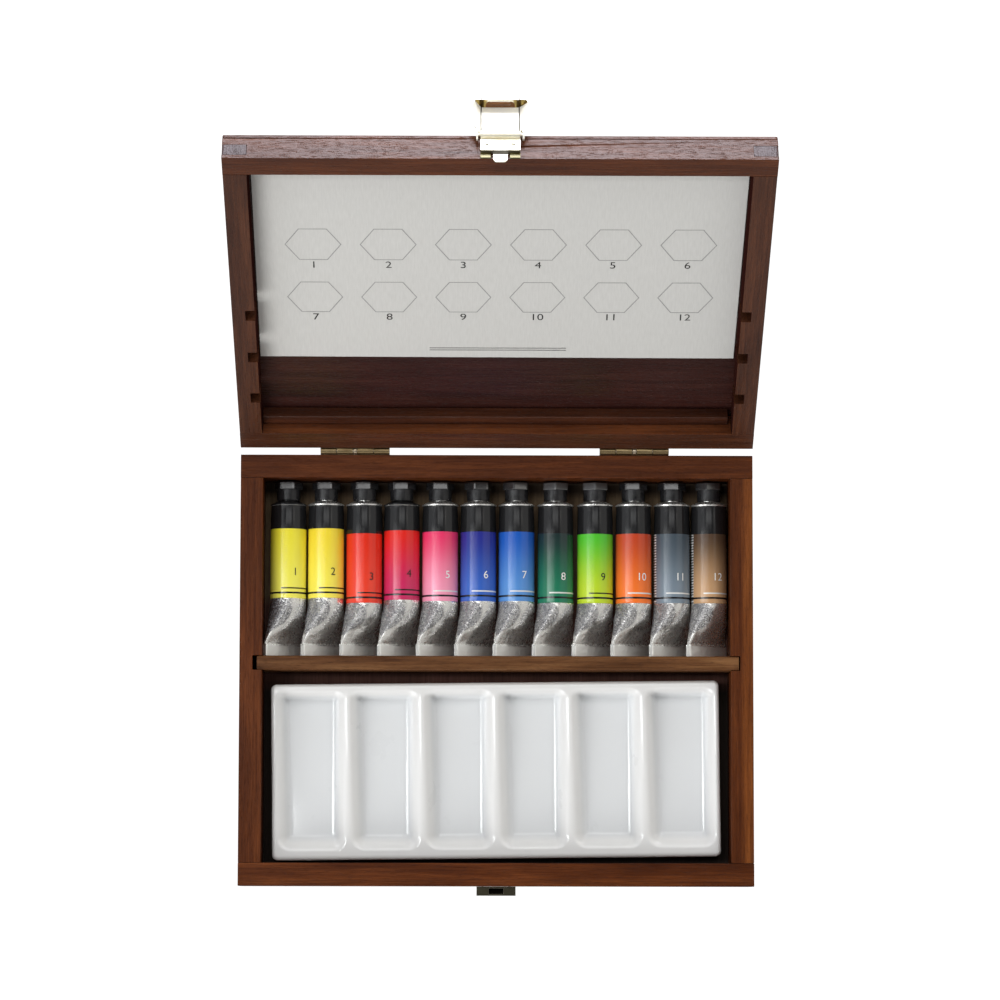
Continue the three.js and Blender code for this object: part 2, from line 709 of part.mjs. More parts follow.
function makeCatch() {
  const half = catchWidth / 2;
  const top = rimHeight - catchBelowRim;
  const wood = frontFace - glueLine;
  const out = frontFace - catchOut;
  const back = blockAt(-half, half, wood - catchThickness, wood, top - catchHeight, top);
  const shelf = blockAt(-half, half, out, wood, top - catchThickness, top);
  const lip = blockAt(-half, half, out, out + catchThickness, top - catchLipHeight, top);
  const window = blockAt(-catchWindowWidth / 2, catchWindowWidth / 2,
    out + catchThickness, wood - catchThickness, top - catchThickness - cutOverrun, top + cutOverrun);
  const holes = holesAlongY(catchNailPlaces, nailHoleRadius, wood, -1, catchThickness);
  addPiece(root, 'catch_plate', cut(join(back, shelf, lip), window, ...holes), finishes.brass);
  addNails(root, 'catch_nail', catchNailPlaces, wood - catchThickness - glueLine);
}

// Palette: a glazed slab with six wells that grow deeper towards the back

function paletteWell(x) {
  const back = paletteLength / 2 - wellBackBorder;
  const front = back - wellLength;
  const widthAbove = wellWidth + (wellWidth - wellFloorWidth) * cutOverrun / wellBackDepth;
  const above = paletteHeight + cutOverrun;
  const backFloor = paletteHeight - wellBackDepth;
  const frontFloor = paletteHeight - wellFrontDepth;
  const backLean = wellBackSlope * cutOverrun / wellBackDepth;
  const frontLean = wellFrontSlope * cutOverrun / wellFrontDepth;
  return skinOver([
    [
      new THREE.Vector3(x - wellFloorWidth / 2, front + wellFrontSlope, frontFloor),
      new THREE.Vector3(x + wellFloorWidth / 2, front + wellFrontSlope, frontFloor),
      new THREE.Vector3(x + wellFloorWidth / 2, back - wellBackSlope, backFloor),
      new THREE.Vector3(x - wellFloorWidth / 2, back - wellBackSlope, backFloor),
    ],
    [
      new THREE.Vector3(x - widthAbove / 2, front - frontLean, above),
      new THREE.Vector3(x + widthAbove / 2, front - frontLean, above),
      new THREE.Vector3(x + widthAbove / 2, back + backLean, above),
      new THREE.Vector3(x - widthAbove / 2, back + backLean, above),
    ],
  ]);
}

function makePalette() {
  const halfX = paletteWidth / 2 - paletteEdgeRadius;
  const halfY = paletteLength / 2 - paletteEdgeRadius;
  const radius = paletteCornerRadius - paletteEdgeRadius;
  const outline = new THREE.Shape();
  const corners = [[1, 1, 0], [-1, 1, 0.5], [-1, -1, 1], [1, -1, 1.5]];
  for (const [sx, sy, turn] of corners) {
    outline.absarc(sx * (halfX - radius), sy * (halfY - radius), radius,
      turn * Math.PI, (turn + 0.5) * Math.PI, false);
  }
  const slab = new THREE.ExtrudeGeometry(outline, {
    depth: paletteHeight - 2 * paletteEdgeRadius,
    curveSegments: cornerSteps,
    bevelThickness: paletteEdgeRadius,
    bevelSize: paletteEdgeRadius,
    bevelSegments: edgeSteps,
  }).translate(0, 0, paletteEdgeRadius);
  const wells = [];
  for (let i = 0; i < wellCount; i += 1) {
    wells.push(paletteWell((i - (wellCount - 1) / 2) * wellPitch));
  }
  const palette = addPiece(root, 'palette', cut(slab, ...wells), finishes.porcelain);
  const bayMiddle = -innerHalfLength + paletteBayLength / 2;
  palette.position.set(paletteShift.x, bayMiddle + paletteShift.y, bottomThickness + fitGap);
  palette.rotation.z = paletteTurn;
}

// Paint tubes: y falls from the cap's top to the fin, about the axis of the round body

function roundRing(radius, y) {
  return flatRing(radius, radius, 1, y, 0);
}

// A ring of the tube, flat by a share from 0 to 1: squareness 1 is an ellipse, and lower is boxier
function flatRing(halfWide, halfThick, squareness, y, flat) {
  const ring = [];
  for (let i = 0; i < tubeSides; i += 1) {
    const angle = 2 * Math.PI * (i + 0.5) / tubeSides;
    const c = Math.cos(angle);
    const s = Math.sin(angle);
    const u = halfWide * Math.sign(c) * Math.abs(c) ** squareness;
    const v = halfThick * Math.sign(s) * Math.abs(s) ** squareness;
    ring.push(new THREE.Vector3(
      u * Math.cos(finTilt) + v * Math.sin(finTilt) - finShift * flat,
      y,
      finLift * flat - u * Math.sin(finTilt) + v * Math.cos(finTilt)));
  }
  return ring;
}

function tubeBodyGeometry() {
  const mix = THREE.MathUtils.lerp;
  const rings = [
    roundRing(neckRadius, -neckStart),
    roundRing(neckRadius, -tubeShoulderStart),
    roundRing(capSkirtRadius, -tubeShoulderStart),
    roundRing(tubeRadius, -tubeShoulderEnd),
    roundRing(tubeRadius, -tubeFlattenStart),
  ];
  for (const share of flattenShares) {
    const flat = THREE.MathUtils.smoothstep(share, 0, 1);
    rings.push(flatRing(
      mix(tubeRadius, finHalfWidth, flat), mix(tubeRadius, finHalfThickness, flat), 1,
      -mix(tubeFlattenStart, tubeFinStart, share), flat));
  }
  for (const y of [-tubeFinStart, -tubeLength]) {
    rings.push(flatRing(finHalfWidth, finHalfThickness, finSquareness, y, 1));
  }
  return skinOver(rings);
}

function capGeometry() {
  const corner = capAcrossFlats / 2 / Math.cos(Math.PI / capSides);
  const head = new THREE.CylinderGeometry(corner * capTaperShare, corner, capHeadHeight, capSides)
    .translate(0, -capHeadHeight / 2, 0);
  const skirtLength = capLength - capTopThickness;
  const skirt = new THREE.CylinderGeometry(capSkirtRadius, capSkirtRadius, skirtLength, skirtSides)
    .translate(0, -capLength + skirtLength / 2, 0);
  const boreDepth = capLength - capTopThickness + cutOverrun;
  const boreRadius = neckRadius + fitGap;
  const bore = new THREE.CylinderGeometry(boreRadius, boreRadius, boreDepth, skirtSides)
    .translate(0, -capTopThickness - boreDepth / 2, 0);
  return cut(join(head, skirt), bore);
}

function makeTubes() {
  const rowY = innerHalfLength - tubeEndGap;
  const rowZ = bottomThickness + fitGap + tubeRadius;
  for (let i = 0; i < tubeCount; i += 1) {
    const place = tubeRowStart + (i + tubeShiftShares[i % tubeShiftShares.length]) * tubePitch;
    const tube = new THREE.Group();
    tube.position.set(place, rowY, rowZ);
    root.add(tube);
    const number = String(i + 1).padStart(2, '0');
    const paint = finish(paintColours[i % paintColours.length], 0.35, 0.3);
    addPiece(tube, `tube_${number}`, tubeBodyGeometry(), paint);
    const cap = addPiece(tube, `tube_cap_${number}`, capGeometry(), finishes.capPlastic);
    cap.rotation.y = capTurnShares[i % capTurnShares.length] * 2 * Math.PI / capSides;
  }
}

makeBaseWalls();
makeLidWalls();
makeLidFittings();
makeDivider();
makeHinges();
makeLatch();
makeCatch();
makePalette();
makeTubes();

export default root;
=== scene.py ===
# Watercolour paint box: the looks of an open wooden box with a leaning lid, brass
# fittings, a divider, a porcelain palette, a colour chart and twelve paint tubes.
# Lengths are millimetres in the row frame, and MM turns them into metres.

import json
import math

import bmesh
import bpy
from mathutils import Matrix, Vector, noise


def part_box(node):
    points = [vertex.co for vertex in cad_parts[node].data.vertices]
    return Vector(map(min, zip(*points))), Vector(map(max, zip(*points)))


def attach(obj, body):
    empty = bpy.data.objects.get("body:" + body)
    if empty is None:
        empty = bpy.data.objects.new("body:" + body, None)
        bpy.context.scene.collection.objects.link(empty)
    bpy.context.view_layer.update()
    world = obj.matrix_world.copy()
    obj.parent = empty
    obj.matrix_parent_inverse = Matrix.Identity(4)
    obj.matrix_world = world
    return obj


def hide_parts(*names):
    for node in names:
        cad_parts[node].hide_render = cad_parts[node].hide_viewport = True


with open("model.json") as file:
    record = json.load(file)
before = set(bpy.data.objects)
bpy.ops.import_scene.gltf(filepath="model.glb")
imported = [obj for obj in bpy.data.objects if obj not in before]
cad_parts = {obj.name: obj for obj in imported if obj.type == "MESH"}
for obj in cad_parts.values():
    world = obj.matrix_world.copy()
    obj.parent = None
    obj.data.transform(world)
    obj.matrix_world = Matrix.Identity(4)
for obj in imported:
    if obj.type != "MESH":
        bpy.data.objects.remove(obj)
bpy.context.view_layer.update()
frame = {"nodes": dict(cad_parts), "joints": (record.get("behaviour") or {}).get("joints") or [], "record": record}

MM = 0.001

# The corners of a square, as shares of its half width
SQUARE_CORNERS = ((-1, -1), (1, -1), (1, 1), (-1, 1))

# Copies of CAD solids, and the cosine from which a direction counts as along an axis
WELD_DISTANCE = 0.01
FLAT_ANGLE = math.radians(1)
FACING = 0.9
SMOOTH_ANGLE = math.radians(32)

# Rounded edges of wood, whose finger joints stay flush, and of metal and card
LONG_EDGE = 15
WOOD_ROUND = 0.9
LONG_ROUND_SHARE = 0.5
CORNER_ROUND_SHARE = 1.0
JOINT_ROUND_SHARE = 0.0
METAL_ROUND = 0.16
CARD_ROUND = 0.08

# How deep inside the box's outline an end face may lie, and a reach that every face passes
END_DEPTH = 0.5
ANYWHERE = -1000.0

# Latch, and where its painted shade and reflection lie, in the closed lid's place
TONGUE_SIDE = 3.4
BEND_TOP = 30.2
BEND_LOW = 27.5
BEND_MIDDLE = 28.8
BEND_SOFT = 0.3
FLAP_END_TOP = 21.6
SNAP_REACH = 6.2
SNAP_DEPTH = 102.2
SNAP_HEIGHT = 4.5
SNAP_DARK = (6.5, 9.0)
FLAP_ROUND = 0.34
CREASE = (7.6, 8.2)
SNAP_SQUARENESS = 4.0
SNAP_SOFT = 0.08
CREASE_SOFT = 0.15

# Brass sheet and knuckles
MIDDLE_KNUCKLE_REACH = 0.8
CATCH_SHEET = 0.75
CATCH_LIP = 2.2
CATCH_WINDOW_HALF = 3.3
# Thickness of the dark sheet of painted shade in the catch's window, and how far below the lip it lies
CATCH_SHADE_SHEET = 0.3
CATCH_SHADE_SHEET_BELOW = 0.7

# Palette
PALETTE_CORNER = 2.6
PALETTE_EDGE = 2.0
PALETTE_GRID = 0.6
PALETTE_EDGE_STEPS = (0.0, 0.03, 0.12, 0.3, 0.55, 0.9, 1.3, 1.7)
PALETTE_FOOT = 1.2
PALETTE_WAVE = 0.28
WAVE_SPAN = (40, 30)
WAVE_MIDDLE = 0.4
WAVE_RIGHT_SHARE = 0.4
WAVE_REACH = 7.8
PALETTE_SMOOTH = math.radians(60)
PALETTE_TURN = math.radians(0.65)
PALETTE_SIZE = (201.2, 78.9)
WELL_COUNT = 6
WELL_PITCH = 33.2
WELL_TOP_WIDTH = 32.4
WELL_BACK_BORDER = 2.9
WELL_FRONT_BORDER = 3.8
WELL_SIDE_SLOPE = 6.2
WELL_LEFT_LEAN = 1.7
WELL_BACK_SLOPE = 4.2
WELL_FRONT_SLOPE = 7.4
WELL_CREST_SHARE = 0.72
GLAZE_FLOOR_BELOW = 6.2
GLAZE_RIM_BELOW = 2.5
WELL_BACK_DEPTH = 8.3
WELL_FRONT_DEPTH = 5.8
WELL_CORNER = 2.2

# Tubes, measured along the tube from the top of its cap
TUBE_RADIUS = 8.25
TUBE_LENGTH = 78.9
TUBE_NECK_RADIUS = 3.6
TUBE_NECK_START = 2.2
TUBE_SHOULDER_START = 8.7
TUBE_SHOULDER_END = 10.2
TUBE_SHOULDER_RADIUS = 5.3
TUBE_BEAD = 0.12
TUBE_BEAD_LENGTH = 0.5
TUBE_SWELL = 0.22
TUBE_SWELL_LENGTH = 12.0
TUBE_FLATTEN_START = 55.5
TUBE_FIN_START = 73.5
TUBE_SIDES = 72
TUBE_STEP = 1.1
NECK_STEP = 0.01
SHOULDER_STEPS = (-0.25, 0, 0.25, 0.6)
FIN_STEPS = (-0.1, 0, 0.2)
END_STEP = 0.2
TUBE_SMOOTH = math.radians(50)
FIN_HALF_WIDTH = 12.18
FIN_HALF_THICKNESS = 0.42
FIN_STEP = 2.4
FIN_BOW = 0.9
FOLD_SPAN = 0.62
FOLD_EASE = 0.35
FOLD_SIDE = 0.3
FIN_TILT = math.radians(44)
FIN_SHIFT = 1.3
FIN_LIFT = 1.1
CRUMPLE_DEPTH = 0.9
CRUMPLE_SCALE = 6.0
PRINT_MAP = "print_place"
PRINT_SPAN = 100.0
PRINT_EASE = 2.5

# What is printed along a tube, and around it to the right of its highest line
LABEL_START = 10.75
BLACK_END = 23.8
COLOUR_END = 52.3
LINE_END = 53.2
STRIPE_END = 55.2
FOOT_RULE_START = 50.3
FOOT_RULE_END = 51.0
FOOT_RULE_LEFT = -3.2
RULE_SOFT = 0.08
LINE_SOFT = 0.06
BLACK_SOFT = 0.05
STRIP_SOFT = 0.1
SIDE_STRIP_LEFT = -13.0
SIDE_STRIP_RIGHT = -9.0
TUBE_NUMBER_HEIGHT = 3.4
TUBE_NUMBER_AROUND = 3.6
TUBE_NUMBER_ALONG = 43.4
INK_LIFT = 0.05
INK_STRIP = 0.35
FIGURE_SHARE = 0.7

# The stippled oval seal on the bare metal
SEAL_AROUND = -5.0
SEAL_ALONG = 62.3
SEAL_HALF_WIDTH = 9.0
SEAL_HALF_LENGTH = 7.8
SEAL_BORDER = 0.93
CURL_SCALE = 1.7
STIPPLE_SCALE = 1.9

# Caps
CAP_FLATS = 11.4
CAP_HEAD = 3.4
CAP_TAPER = 0.985
CAP_SKIRT_RADIUS = 5.3
CAP_LENGTH = 8.4
CAP_ROUND = 0.35
CAP_EASE = 0.105
CAP_LOWER_EASE = 0.07
CAP_STEP = 0.035
CAP_FOOT_EASE = 0.14
CAP_SIDES = 6
CAP_POINTS = 96
CAP_CORNER_ROUND_SHARE = 0.985
CAP_TURNED_COUNT = 4
CAP_TURNED_MORE = math.radians(10.8)
CAP_SMOOTH = math.radians(12)

# Colour chart
HEXAGON_HALF_WIDTH = 11.9
HEXAGON_HALF_HEIGHT = 9.9
HEXAGON_LINE = 0.5
HEXAGON_CORNERS = ((1, 0), (0.5, 1), (-0.5, 1), (-1, 0), (-0.5, -1), (0.5, -1))
CHART_COLUMNS = 6
CHART_PITCH = 32.05
CHART_FIRST = -79.3
CHART_ROWS = (127.0, 92.4)
CHART_NUMBER_DROP = 13.4
CHART_NUMBER_HEIGHT = 4.2
CHART_RULES = (56.6, 58.0)
CHART_RULE_HALF_LENGTH = 30.0
CHART_RULE_LINE = 0.4
INK_THICKNESS = 0.03

# Depth of the surface relief of each finish
WOOD_RELIEF = 0.035
CARD_RELIEF = 0.006
INK_RELIEF = 0.001
GLAZE_RELIEF = 0.06
BRASS_RELIEF = 0.002
PLASTIC_RELIEF = 0.001
SEAL_RELIEF = 0.05
DENT_RELIEF = 0.24

# How metallic the bare metal of a tube is
BARE_METALLIC = 0.90

# The usual range of a noise, and how far the waves of the weave and of the bars turn in a millimetre
NOISE_RANGE = (0.3, 0.7)
THREAD_TURN = 7.5
BAR_TURN = 5.2

# How often the grain's figure, pores and scratches change in a millimetre, along X, Y and Z
BROAD_GRAIN = (0.010, 0.13, 0.13)
STREAKS = (0.03, 0.9, 0.9)
FINE_GRAIN = (0.10, 3.0, 3.0)
PORES = (0.28, 4.6, 4.6)
SCRATCHES_ALONG = (0.25, 6.0, 6.0)
SCRATCHES_ACROSS = (6.0, 0.3, 5.0)

# How often the wood's clouds change in a millimetre, alike in all directions
CLOUDS = 0.028

# Camera, lights and floor
CAMERA_TARGET = (-13.83, 76.24, 27.0)
CAMERA_DISTANCE = 1848.84
CAMERA_TILT = 0.09864601
CAMERA_PAN = 0.00827188
CAMERA_ROLL = 0.00252802
CAMERA_LENS = 148.204
CAMERA_REACH = 20000
FLOOR_HALF = 3000
ROOM_LEFT = (0.58, 0.59, 0.61, 1)
ROOM_RIGHT = (0.56, 0.55, 0.53, 1)
ROOM_DARK = (0.04, 0.04, 0.04, 1)
ROOM_TURN = 0.6
ROOM_PALE_TO = 0.80
ROOM_DARK_FROM = 0.93
FLOOR_GLOW = 1.0
FLOOR_LIGHT_SHARE = 0.5
WHITE = (1.0, 1.0, 1.0)
LID_AIM = (0, 130, 130)

# Name, place, aim, width, height, radiance and tint of each lamp
LAMPS = (
    ("key_lamp", (-800, -1150, 650), (0, 100, 60), 900, 700, 7.0, (1.0, 0.995, 0.98)),
    ("overhead_lamp", (0, 680, 1450), (0, 40, 0), 1000, 820, 2.2, WHITE),
    ("side_strip_lamp", (-866, 100, 1500), (0, 60, 0), 100, 1600, 12.0, (0.97, 0.99, 1.0)),
    ("right_lamp", (780, 700, 1050), (0, 40, 0), 700, 700, 1.7, (1.0, 0.95, 0.88)),
    ("back_lamp", (40, 1400, 560), LID_AIM, 560, 480, 19.0, (0.92, 0.92, 1.0)),
    ("back_wing_lamp", (-650, 1330, 560), LID_AIM, 560, 480, 3.5, WHITE),
    ("back_wing_lamp", (650, 1330, 560), LID_AIM, 560, 480, 3.5, WHITE),
)


# Places read from the frame


def node_box(node):
    low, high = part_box(node)
    return low / MM, high / MM


def joint_named(name):
    return next(joint for joint in frame["joints"] if joint["name"] == name)


def opening_turn(joint_name):
    """The turn about a joint from its lowest position to its place at rest."""
    joint = joint_named(joint_name)
    point = Vector(joint["pos_m"]) / MM
    angle = math.radians(-joint["range_deg"][0])
    turn = Matrix.Rotation(angle, 4, Vector(joint["axis"]))
    return Matrix.Translation(point) @ turn @ Matrix.Translation(-point)


LID_OPENING = opening_turn("lid_hinge")
LID_ANGLE = math.radians(-joint_named("lid_hinge")["range_deg"][0])
LID_CLOSING = LID_OPENING.inverted()
FLAP_CLOSING = LID_CLOSING @ opening_turn("latch_flap_hinge").inverted()

HALF_WIDTH, HALF_LENGTH = node_box("base_bottom_panel")[1].xy


# Meshes and objects


def new_object(name, data):
    """An object in the scene that shows a mesh, figures, a lamp or a camera."""
    made = bpy.data.objects.new(name, data)
    bpy.context.scene.collection.objects.link(made)
    return made


def finish_object(name, form, materials, body, replaced=(), smooth=SMOOTH_ANGLE):
    """An object from a bmesh in millimetres, riding on a body and standing for CAD nodes."""
    bmesh.ops.scale(form, vec=(MM, MM, MM), verts=form.verts)
    mesh = bpy.data.meshes.new(name)
    form.to_mesh(mesh)
    form.free()
    mesh.shade_smooth()
    mesh.set_sharp_from_angle(angle=smooth)
    for material in materials:
        mesh.materials.append(material)
    piece = new_object(name, mesh)
    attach(piece, body)
    if replaced:
        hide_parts(*replaced)
    return piece


def form_of(node):
    """A welded copy of a CAD solid in millimetres, with its flat faces made whole."""
    form = bmesh.new()
    form.from_mesh(frame["nodes"][node].data)
    bmesh.ops.scale(form, vec=(1 / MM, 1 / MM, 1 / MM), verts=form.verts)
    bmesh.ops.remove_doubles(form, verts=form.verts, dist=WELD_DISTANCE)
    bmesh.ops.dissolve_limit(form, angle_limit=FLAT_ANGLE, verts=form.verts, edges=form.edges)
    return form


def round_edges(piece, width, segments, by_weight=False):
    bevel = piece.modifiers.new("rounded_edges", "BEVEL")
    bevel.width = width * MM
    bevel.segments = segments
    bevel.limit_method = "WEIGHT" if by_weight else "ANGLE"
    bevel.angle_limit = SMOOTH_ANGLE
    bevel.harden_normals = True
    bevel.use_clamp_overlap = True
    return bevel


def stand_in(node, name, form, materials, smooth=SMOOTH_ANGLE):
    """An object in place of a CAD node, on its body."""
    record = frame["record"]
    body = next(body for body, nodes in record["behaviour"]["bodies"].items() if node in nodes)
    return finish_object(name, form, materials, body, (node,), smooth)


def loft(form, rings):
    """A closed skin over rings of equal point count. Returns the rings' vertices."""
    placed = [[form.verts.new(point) for point in ring] for ring in rings]
    for ring, following in zip(placed, placed[1:]):
        for i in range(len(ring)):
            j = (i + 1) % len(ring)
            form.faces.new((ring[i], ring[j], following[j], following[i]))
    form.faces.new(placed[0][::-1])
    form.faces.new(placed[-1])
    return placed


def smoothstep(value):
    value = min(1.0, max(0.0, value))
    return value * value * (3 - 2 * value)


def mix(a, b, share):
    return a + (b - a) * share


# Shader wiring


class Wiring:
    """Places nodes in a tree and feeds their sockets from values or other sockets."""

    def __init__(self, tree):
        self.tree = tree

    def node(self, kind, feeds=None, **settings):
        made = self.tree.nodes.new(kind)
        for key, value in settings.items():
            setattr(made, key, value)
        return self.fill(made, feeds or {})

    def feed(self, socket, value):
        if isinstance(value, bpy.types.NodeSocket):
            self.tree.links.new(value, socket)
        else:
            socket.default_value = value

    def fill(self, node, feeds):
        for socket, value in feeds.items():
            self.feed(node.inputs[socket], value)
        return node

    def group(self, tree, feeds):
        return self.node("ShaderNodeGroup", feeds, node_tree=tree)

    def math(self, operation, *values):
        return self.node("ShaderNodeMath", dict(enumerate(values)), operation=operation).outputs[0]

    def times(self, first, second):
        return self.math("MULTIPLY", first, second)

    def plus(self, first, second):
        return self.math("ADD", first, second)

    def minus(self, first, second):
        return self.math("SUBTRACT", first, second)

    def parts(self, place):
        """The three coordinates of a place."""
        return self.node("ShaderNodeSeparateXYZ", {0: place}).outputs

    def blend(self, share, first, second, kind="MIX"):
        made = self.node("ShaderNodeMix", {0: share, 6: first, 7: second},
                         data_type="RGBA", blend_type=kind)
        return made.outputs[2]

    def spread(self, value, low, high, to_low=0.0, to_high=1.0, smooth=False):
        made = self.node("ShaderNodeMapRange", {0: value, 1: low, 2: high, 3: to_low, 4: to_high},
                         interpolation_type="SMOOTHSTEP" if smooth else "LINEAR")
        return made.outputs[0]

    def level(self, value, to_low=0.0, to_high=1.0):
        """The usual range of a noise, spread from one value to another."""
        return self.spread(value, *NOISE_RANGE, to_low, to_high)

    def noise(self, place, scale, detail=3.0, roughness=0.5, distortion=0.0):
        feeds = {"Vector": place, "Scale": scale, "Detail": detail,
                 "Roughness": roughness, "Distortion": distortion}
        return self.node("ShaderNodeTexNoise", feeds).outputs["Fac"]

    def mapped(self, place, scale=(1, 1, 1), turn=(0, 0, 0), shift=(0, 0, 0)):
        feeds = {"Vector": place, "Scale": scale, "Rotation": turn, "Location": shift}
        return self.node("ShaderNodeMapping", feeds).outputs[0]

    def band(self, value, low, high, soft):
        """1 between two values and 0 outside, with soft borders."""
        rising = self.spread(value, low, low + soft)
        falling = self.spread(value, high - soft, high, 1.0, 0.0)
        return self.times(rising, falling)


def new_group(name, inputs, outputs):
    tree = bpy.data.node_groups.new(name, "ShaderNodeTree")
    for label, kind, value in inputs:
        socket = tree.interface.new_socket(label, in_out="INPUT", socket_type="NodeSocket" + kind)
        if value is not None:
            socket.default_value = value
    for label, kind in outputs:
        tree.interface.new_socket(label, in_out="OUTPUT", socket_type="NodeSocket" + kind)
    wiring = Wiring(tree)
    return tree, wiring, wiring.node("NodeGroupInput"), wiring.node("NodeGroupOutput")


def new_material(name, roughness, metallic=0.0, coat=0.0, coat_roughness=0.1, specular=0.5):
    material = bpy.data.materials.new(name)
    material.use_nodes = True
    w = Wiring(material.node_tree)
    shader = next(node for node in w.tree.nodes if node.type == "BSDF_PRINCIPLED")
    w.fill(shader, {"Roughness": roughness, "Metallic": metallic, "Coat Weight": coat,
                    "Coat Roughness": coat_roughness, "Specular IOR Level": specular})
    return material, w, shader


def bump(wiring, shader, height, depth):
    """Relief whose height of 1 stands for a depth in millimetres."""
    made = wiring.node("ShaderNodeBump", {"Height": height, "Strength": 1.0, "Distance": depth * MM})
    wiring.feed(shader.inputs["Normal"], made.outputs[0])


def object_place(wiring):
    """Object coordinates in millimetres."""
    place = wiring.node("ShaderNodeTexCoord").outputs["Object"]
    return wiring.mapped(place, scale=(1 / MM, 1 / MM, 1 / MM))


# Effects that several materials share


def make_grain_group():
    """Stained wood whose grain runs along X of the place fed in."""
    tree, w, given, out = new_group(
        "wood_grain",
        [("Place", "Vector", None), ("Dark", "Color", None), ("Middle", "Color", None),
         ("Light", "Color", None), ("Figure", "Float", 1.0), ("Pores", "Float", 1.0)],
        [("Color", "Color"), ("Roughness", "Float"), ("Height", "Float")])
    place = given.outputs["Place"]
    broad = w.noise(w.mapped(place, scale=BROAD_GRAIN), 1.0, 3.0, 0.5, 0.6)
    streaks = w.noise(w.mapped(place, scale=STREAKS), 1.0, 4.0, 0.6, 0.2)
    fine = w.noise(w.mapped(place, scale=FINE_GRAIN), 1.0, 3.0, 0.7)
    pores = w.noise(w.mapped(place, scale=PORES), 1.0, 2.0, 0.6)
    cloud = w.noise(place, CLOUDS, 2.0, 0.5)
    figure = w.plus(w.times(broad, 0.5), w.times(streaks, 0.5))
    half_range = w.math("DIVIDE", 0.22, given.outputs["Figure"])
    share = w.spread(figure, w.minus(0.5, half_range), w.plus(0.5, half_range))
    colour = w.blend(w.spread(share, 0.0, 0.5), given.outputs["Dark"], given.outputs["Middle"])
    colour = w.blend(w.spread(share, 0.5, 1.0), colour, given.outputs["Light"])
    pore_mask = w.times(w.spread(pores, 0.56, 0.68), given.outputs["Pores"])
    shade = w.times(w.level(fine, 0.82, 1.16), w.level(cloud, 0.88, 1.10))
    shade = w.times(shade, w.spread(pore_mask, 0.0, 1.0, 1.0, 0.6))
    grey = w.node("ShaderNodeCombineColor", {0: shade, 1: shade, 2: shade}).outputs[0]
    w.fill(out, {"Color": w.blend(1.0, colour, grey, "MULTIPLY"),
                 "Roughness": w.spread(fine, 0.25, 0.75, 0.24, 0.34),
                 "Height": w.minus(w.times(fine, 0.35), pore_mask)})
    return tree


def make_wear_group():
    """Fine scratches and soft smudges for metal and glossy surfaces."""
    tree, w, given, out = new_group(
        "handling_wear",
        [("Place", "Vector", None), ("Scale", "Float", 1.0)],
        [("Scratches", "Float"), ("Smudges", "Float"), ("Speckle", "Float")])
    place = given.outputs["Place"]
    scale = given.outputs["Scale"]
    along = w.noise(w.mapped(place, scale=SCRATCHES_ALONG, turn=(0.3, 0.2, 0.5)), scale, 2.0, 0.6)
    across = w.noise(w.mapped(place, scale=SCRATCHES_ACROSS, turn=(0.1, 0.5, 0.2)), scale, 2.0, 0.6)
    scratches = w.math("MAXIMUM", w.spread(along, 0.62, 0.72), w.spread(across, 0.64, 0.74))
    w.fill(out, {"Scratches": scratches,
                 "Smudges": w.noise(place, w.times(scale, 0.22), 4.0, 0.6),
                 "Speckle": w.noise(place, w.times(scale, 2.6), 2.0, 0.7)})
    return tree


LABEL_BLACK = (0.012, 0.012, 0.013, 1)
STRIP_TONES = ((0.8, 0.8, 0.78, 1), (0.02, 0.02, 0.02, 1))
METAL_TONES = ((0.82, 0.81, 0.78, 1), (0.93, 0.92, 0.89, 1))
SEAL_DARK = (0.09, 0.09, 0.12, 1)
FIN_TONE = (0.93, 0.93, 0.90, 1)


def label_colour(w, given, around, along):
    """A black band, a colour field with a rule and a barred strip, and a black line."""
    fade = w.spread(along, BLACK_END, COLOUR_END, smooth=True)
    colour = w.blend(fade, given.outputs["Top Colour"], given.outputs["Foot Colour"])
    rule = w.band(along, FOOT_RULE_START, FOOT_RULE_END, RULE_SOFT)
    rule = w.times(rule, w.spread(around, FOOT_RULE_LEFT, FOOT_RULE_LEFT + INK_STRIP))
    colour = w.blend(rule, colour, given.outputs["Ink"])
    strip = w.times(w.band(around, SIDE_STRIP_LEFT, SIDE_STRIP_RIGHT, STRIP_SOFT), given.outputs["Strip"])
    bars = w.spread(w.math("SINE", w.times(along, BAR_TURN)), 0.0, 0.3)
    colour = w.blend(strip, colour, w.blend(bars, *STRIP_TONES))
    black = w.minus(1.0, w.spread(along, BLACK_END - BLACK_SOFT, BLACK_END + BLACK_SOFT))
    line = w.band(along, COLOUR_END, LINE_END, LINE_SOFT)
    return w.blend(w.math("MAXIMUM", black, line), colour, LABEL_BLACK)


def seal_mask(w, around, along):
    """1 inside the oval seal and 0 outside."""
    across = w.math("DIVIDE", w.minus(around, SEAL_AROUND), SEAL_HALF_WIDTH)
    down = w.math("DIVIDE", w.minus(along, SEAL_ALONG), SEAL_HALF_LENGTH)
    radius = w.math("SQRT", w.plus(w.times(across, across), w.times(down, down)))
    return w.minus(1.0, w.spread(radius, SEAL_BORDER, 1.0))


def bare_metal(w, place, along, in_seal, curl):
    """Pale metal, darker between the curls of the seal and even on the folded end."""
    metal = w.blend(w.noise(place, 0.35, 3.0, 0.6), *METAL_TONES)
    seal_shade = w.times(in_seal, w.spread(curl, 0.47, 0.53, 0.25, 1.0))
    metal = w.blend(w.times(seal_shade, 0.9), metal, SEAL_DARK)
    return w.blend(w.spread(along, TUBE_FIN_START - 0.1, TUBE_FIN_START), metal, FIN_TONE)


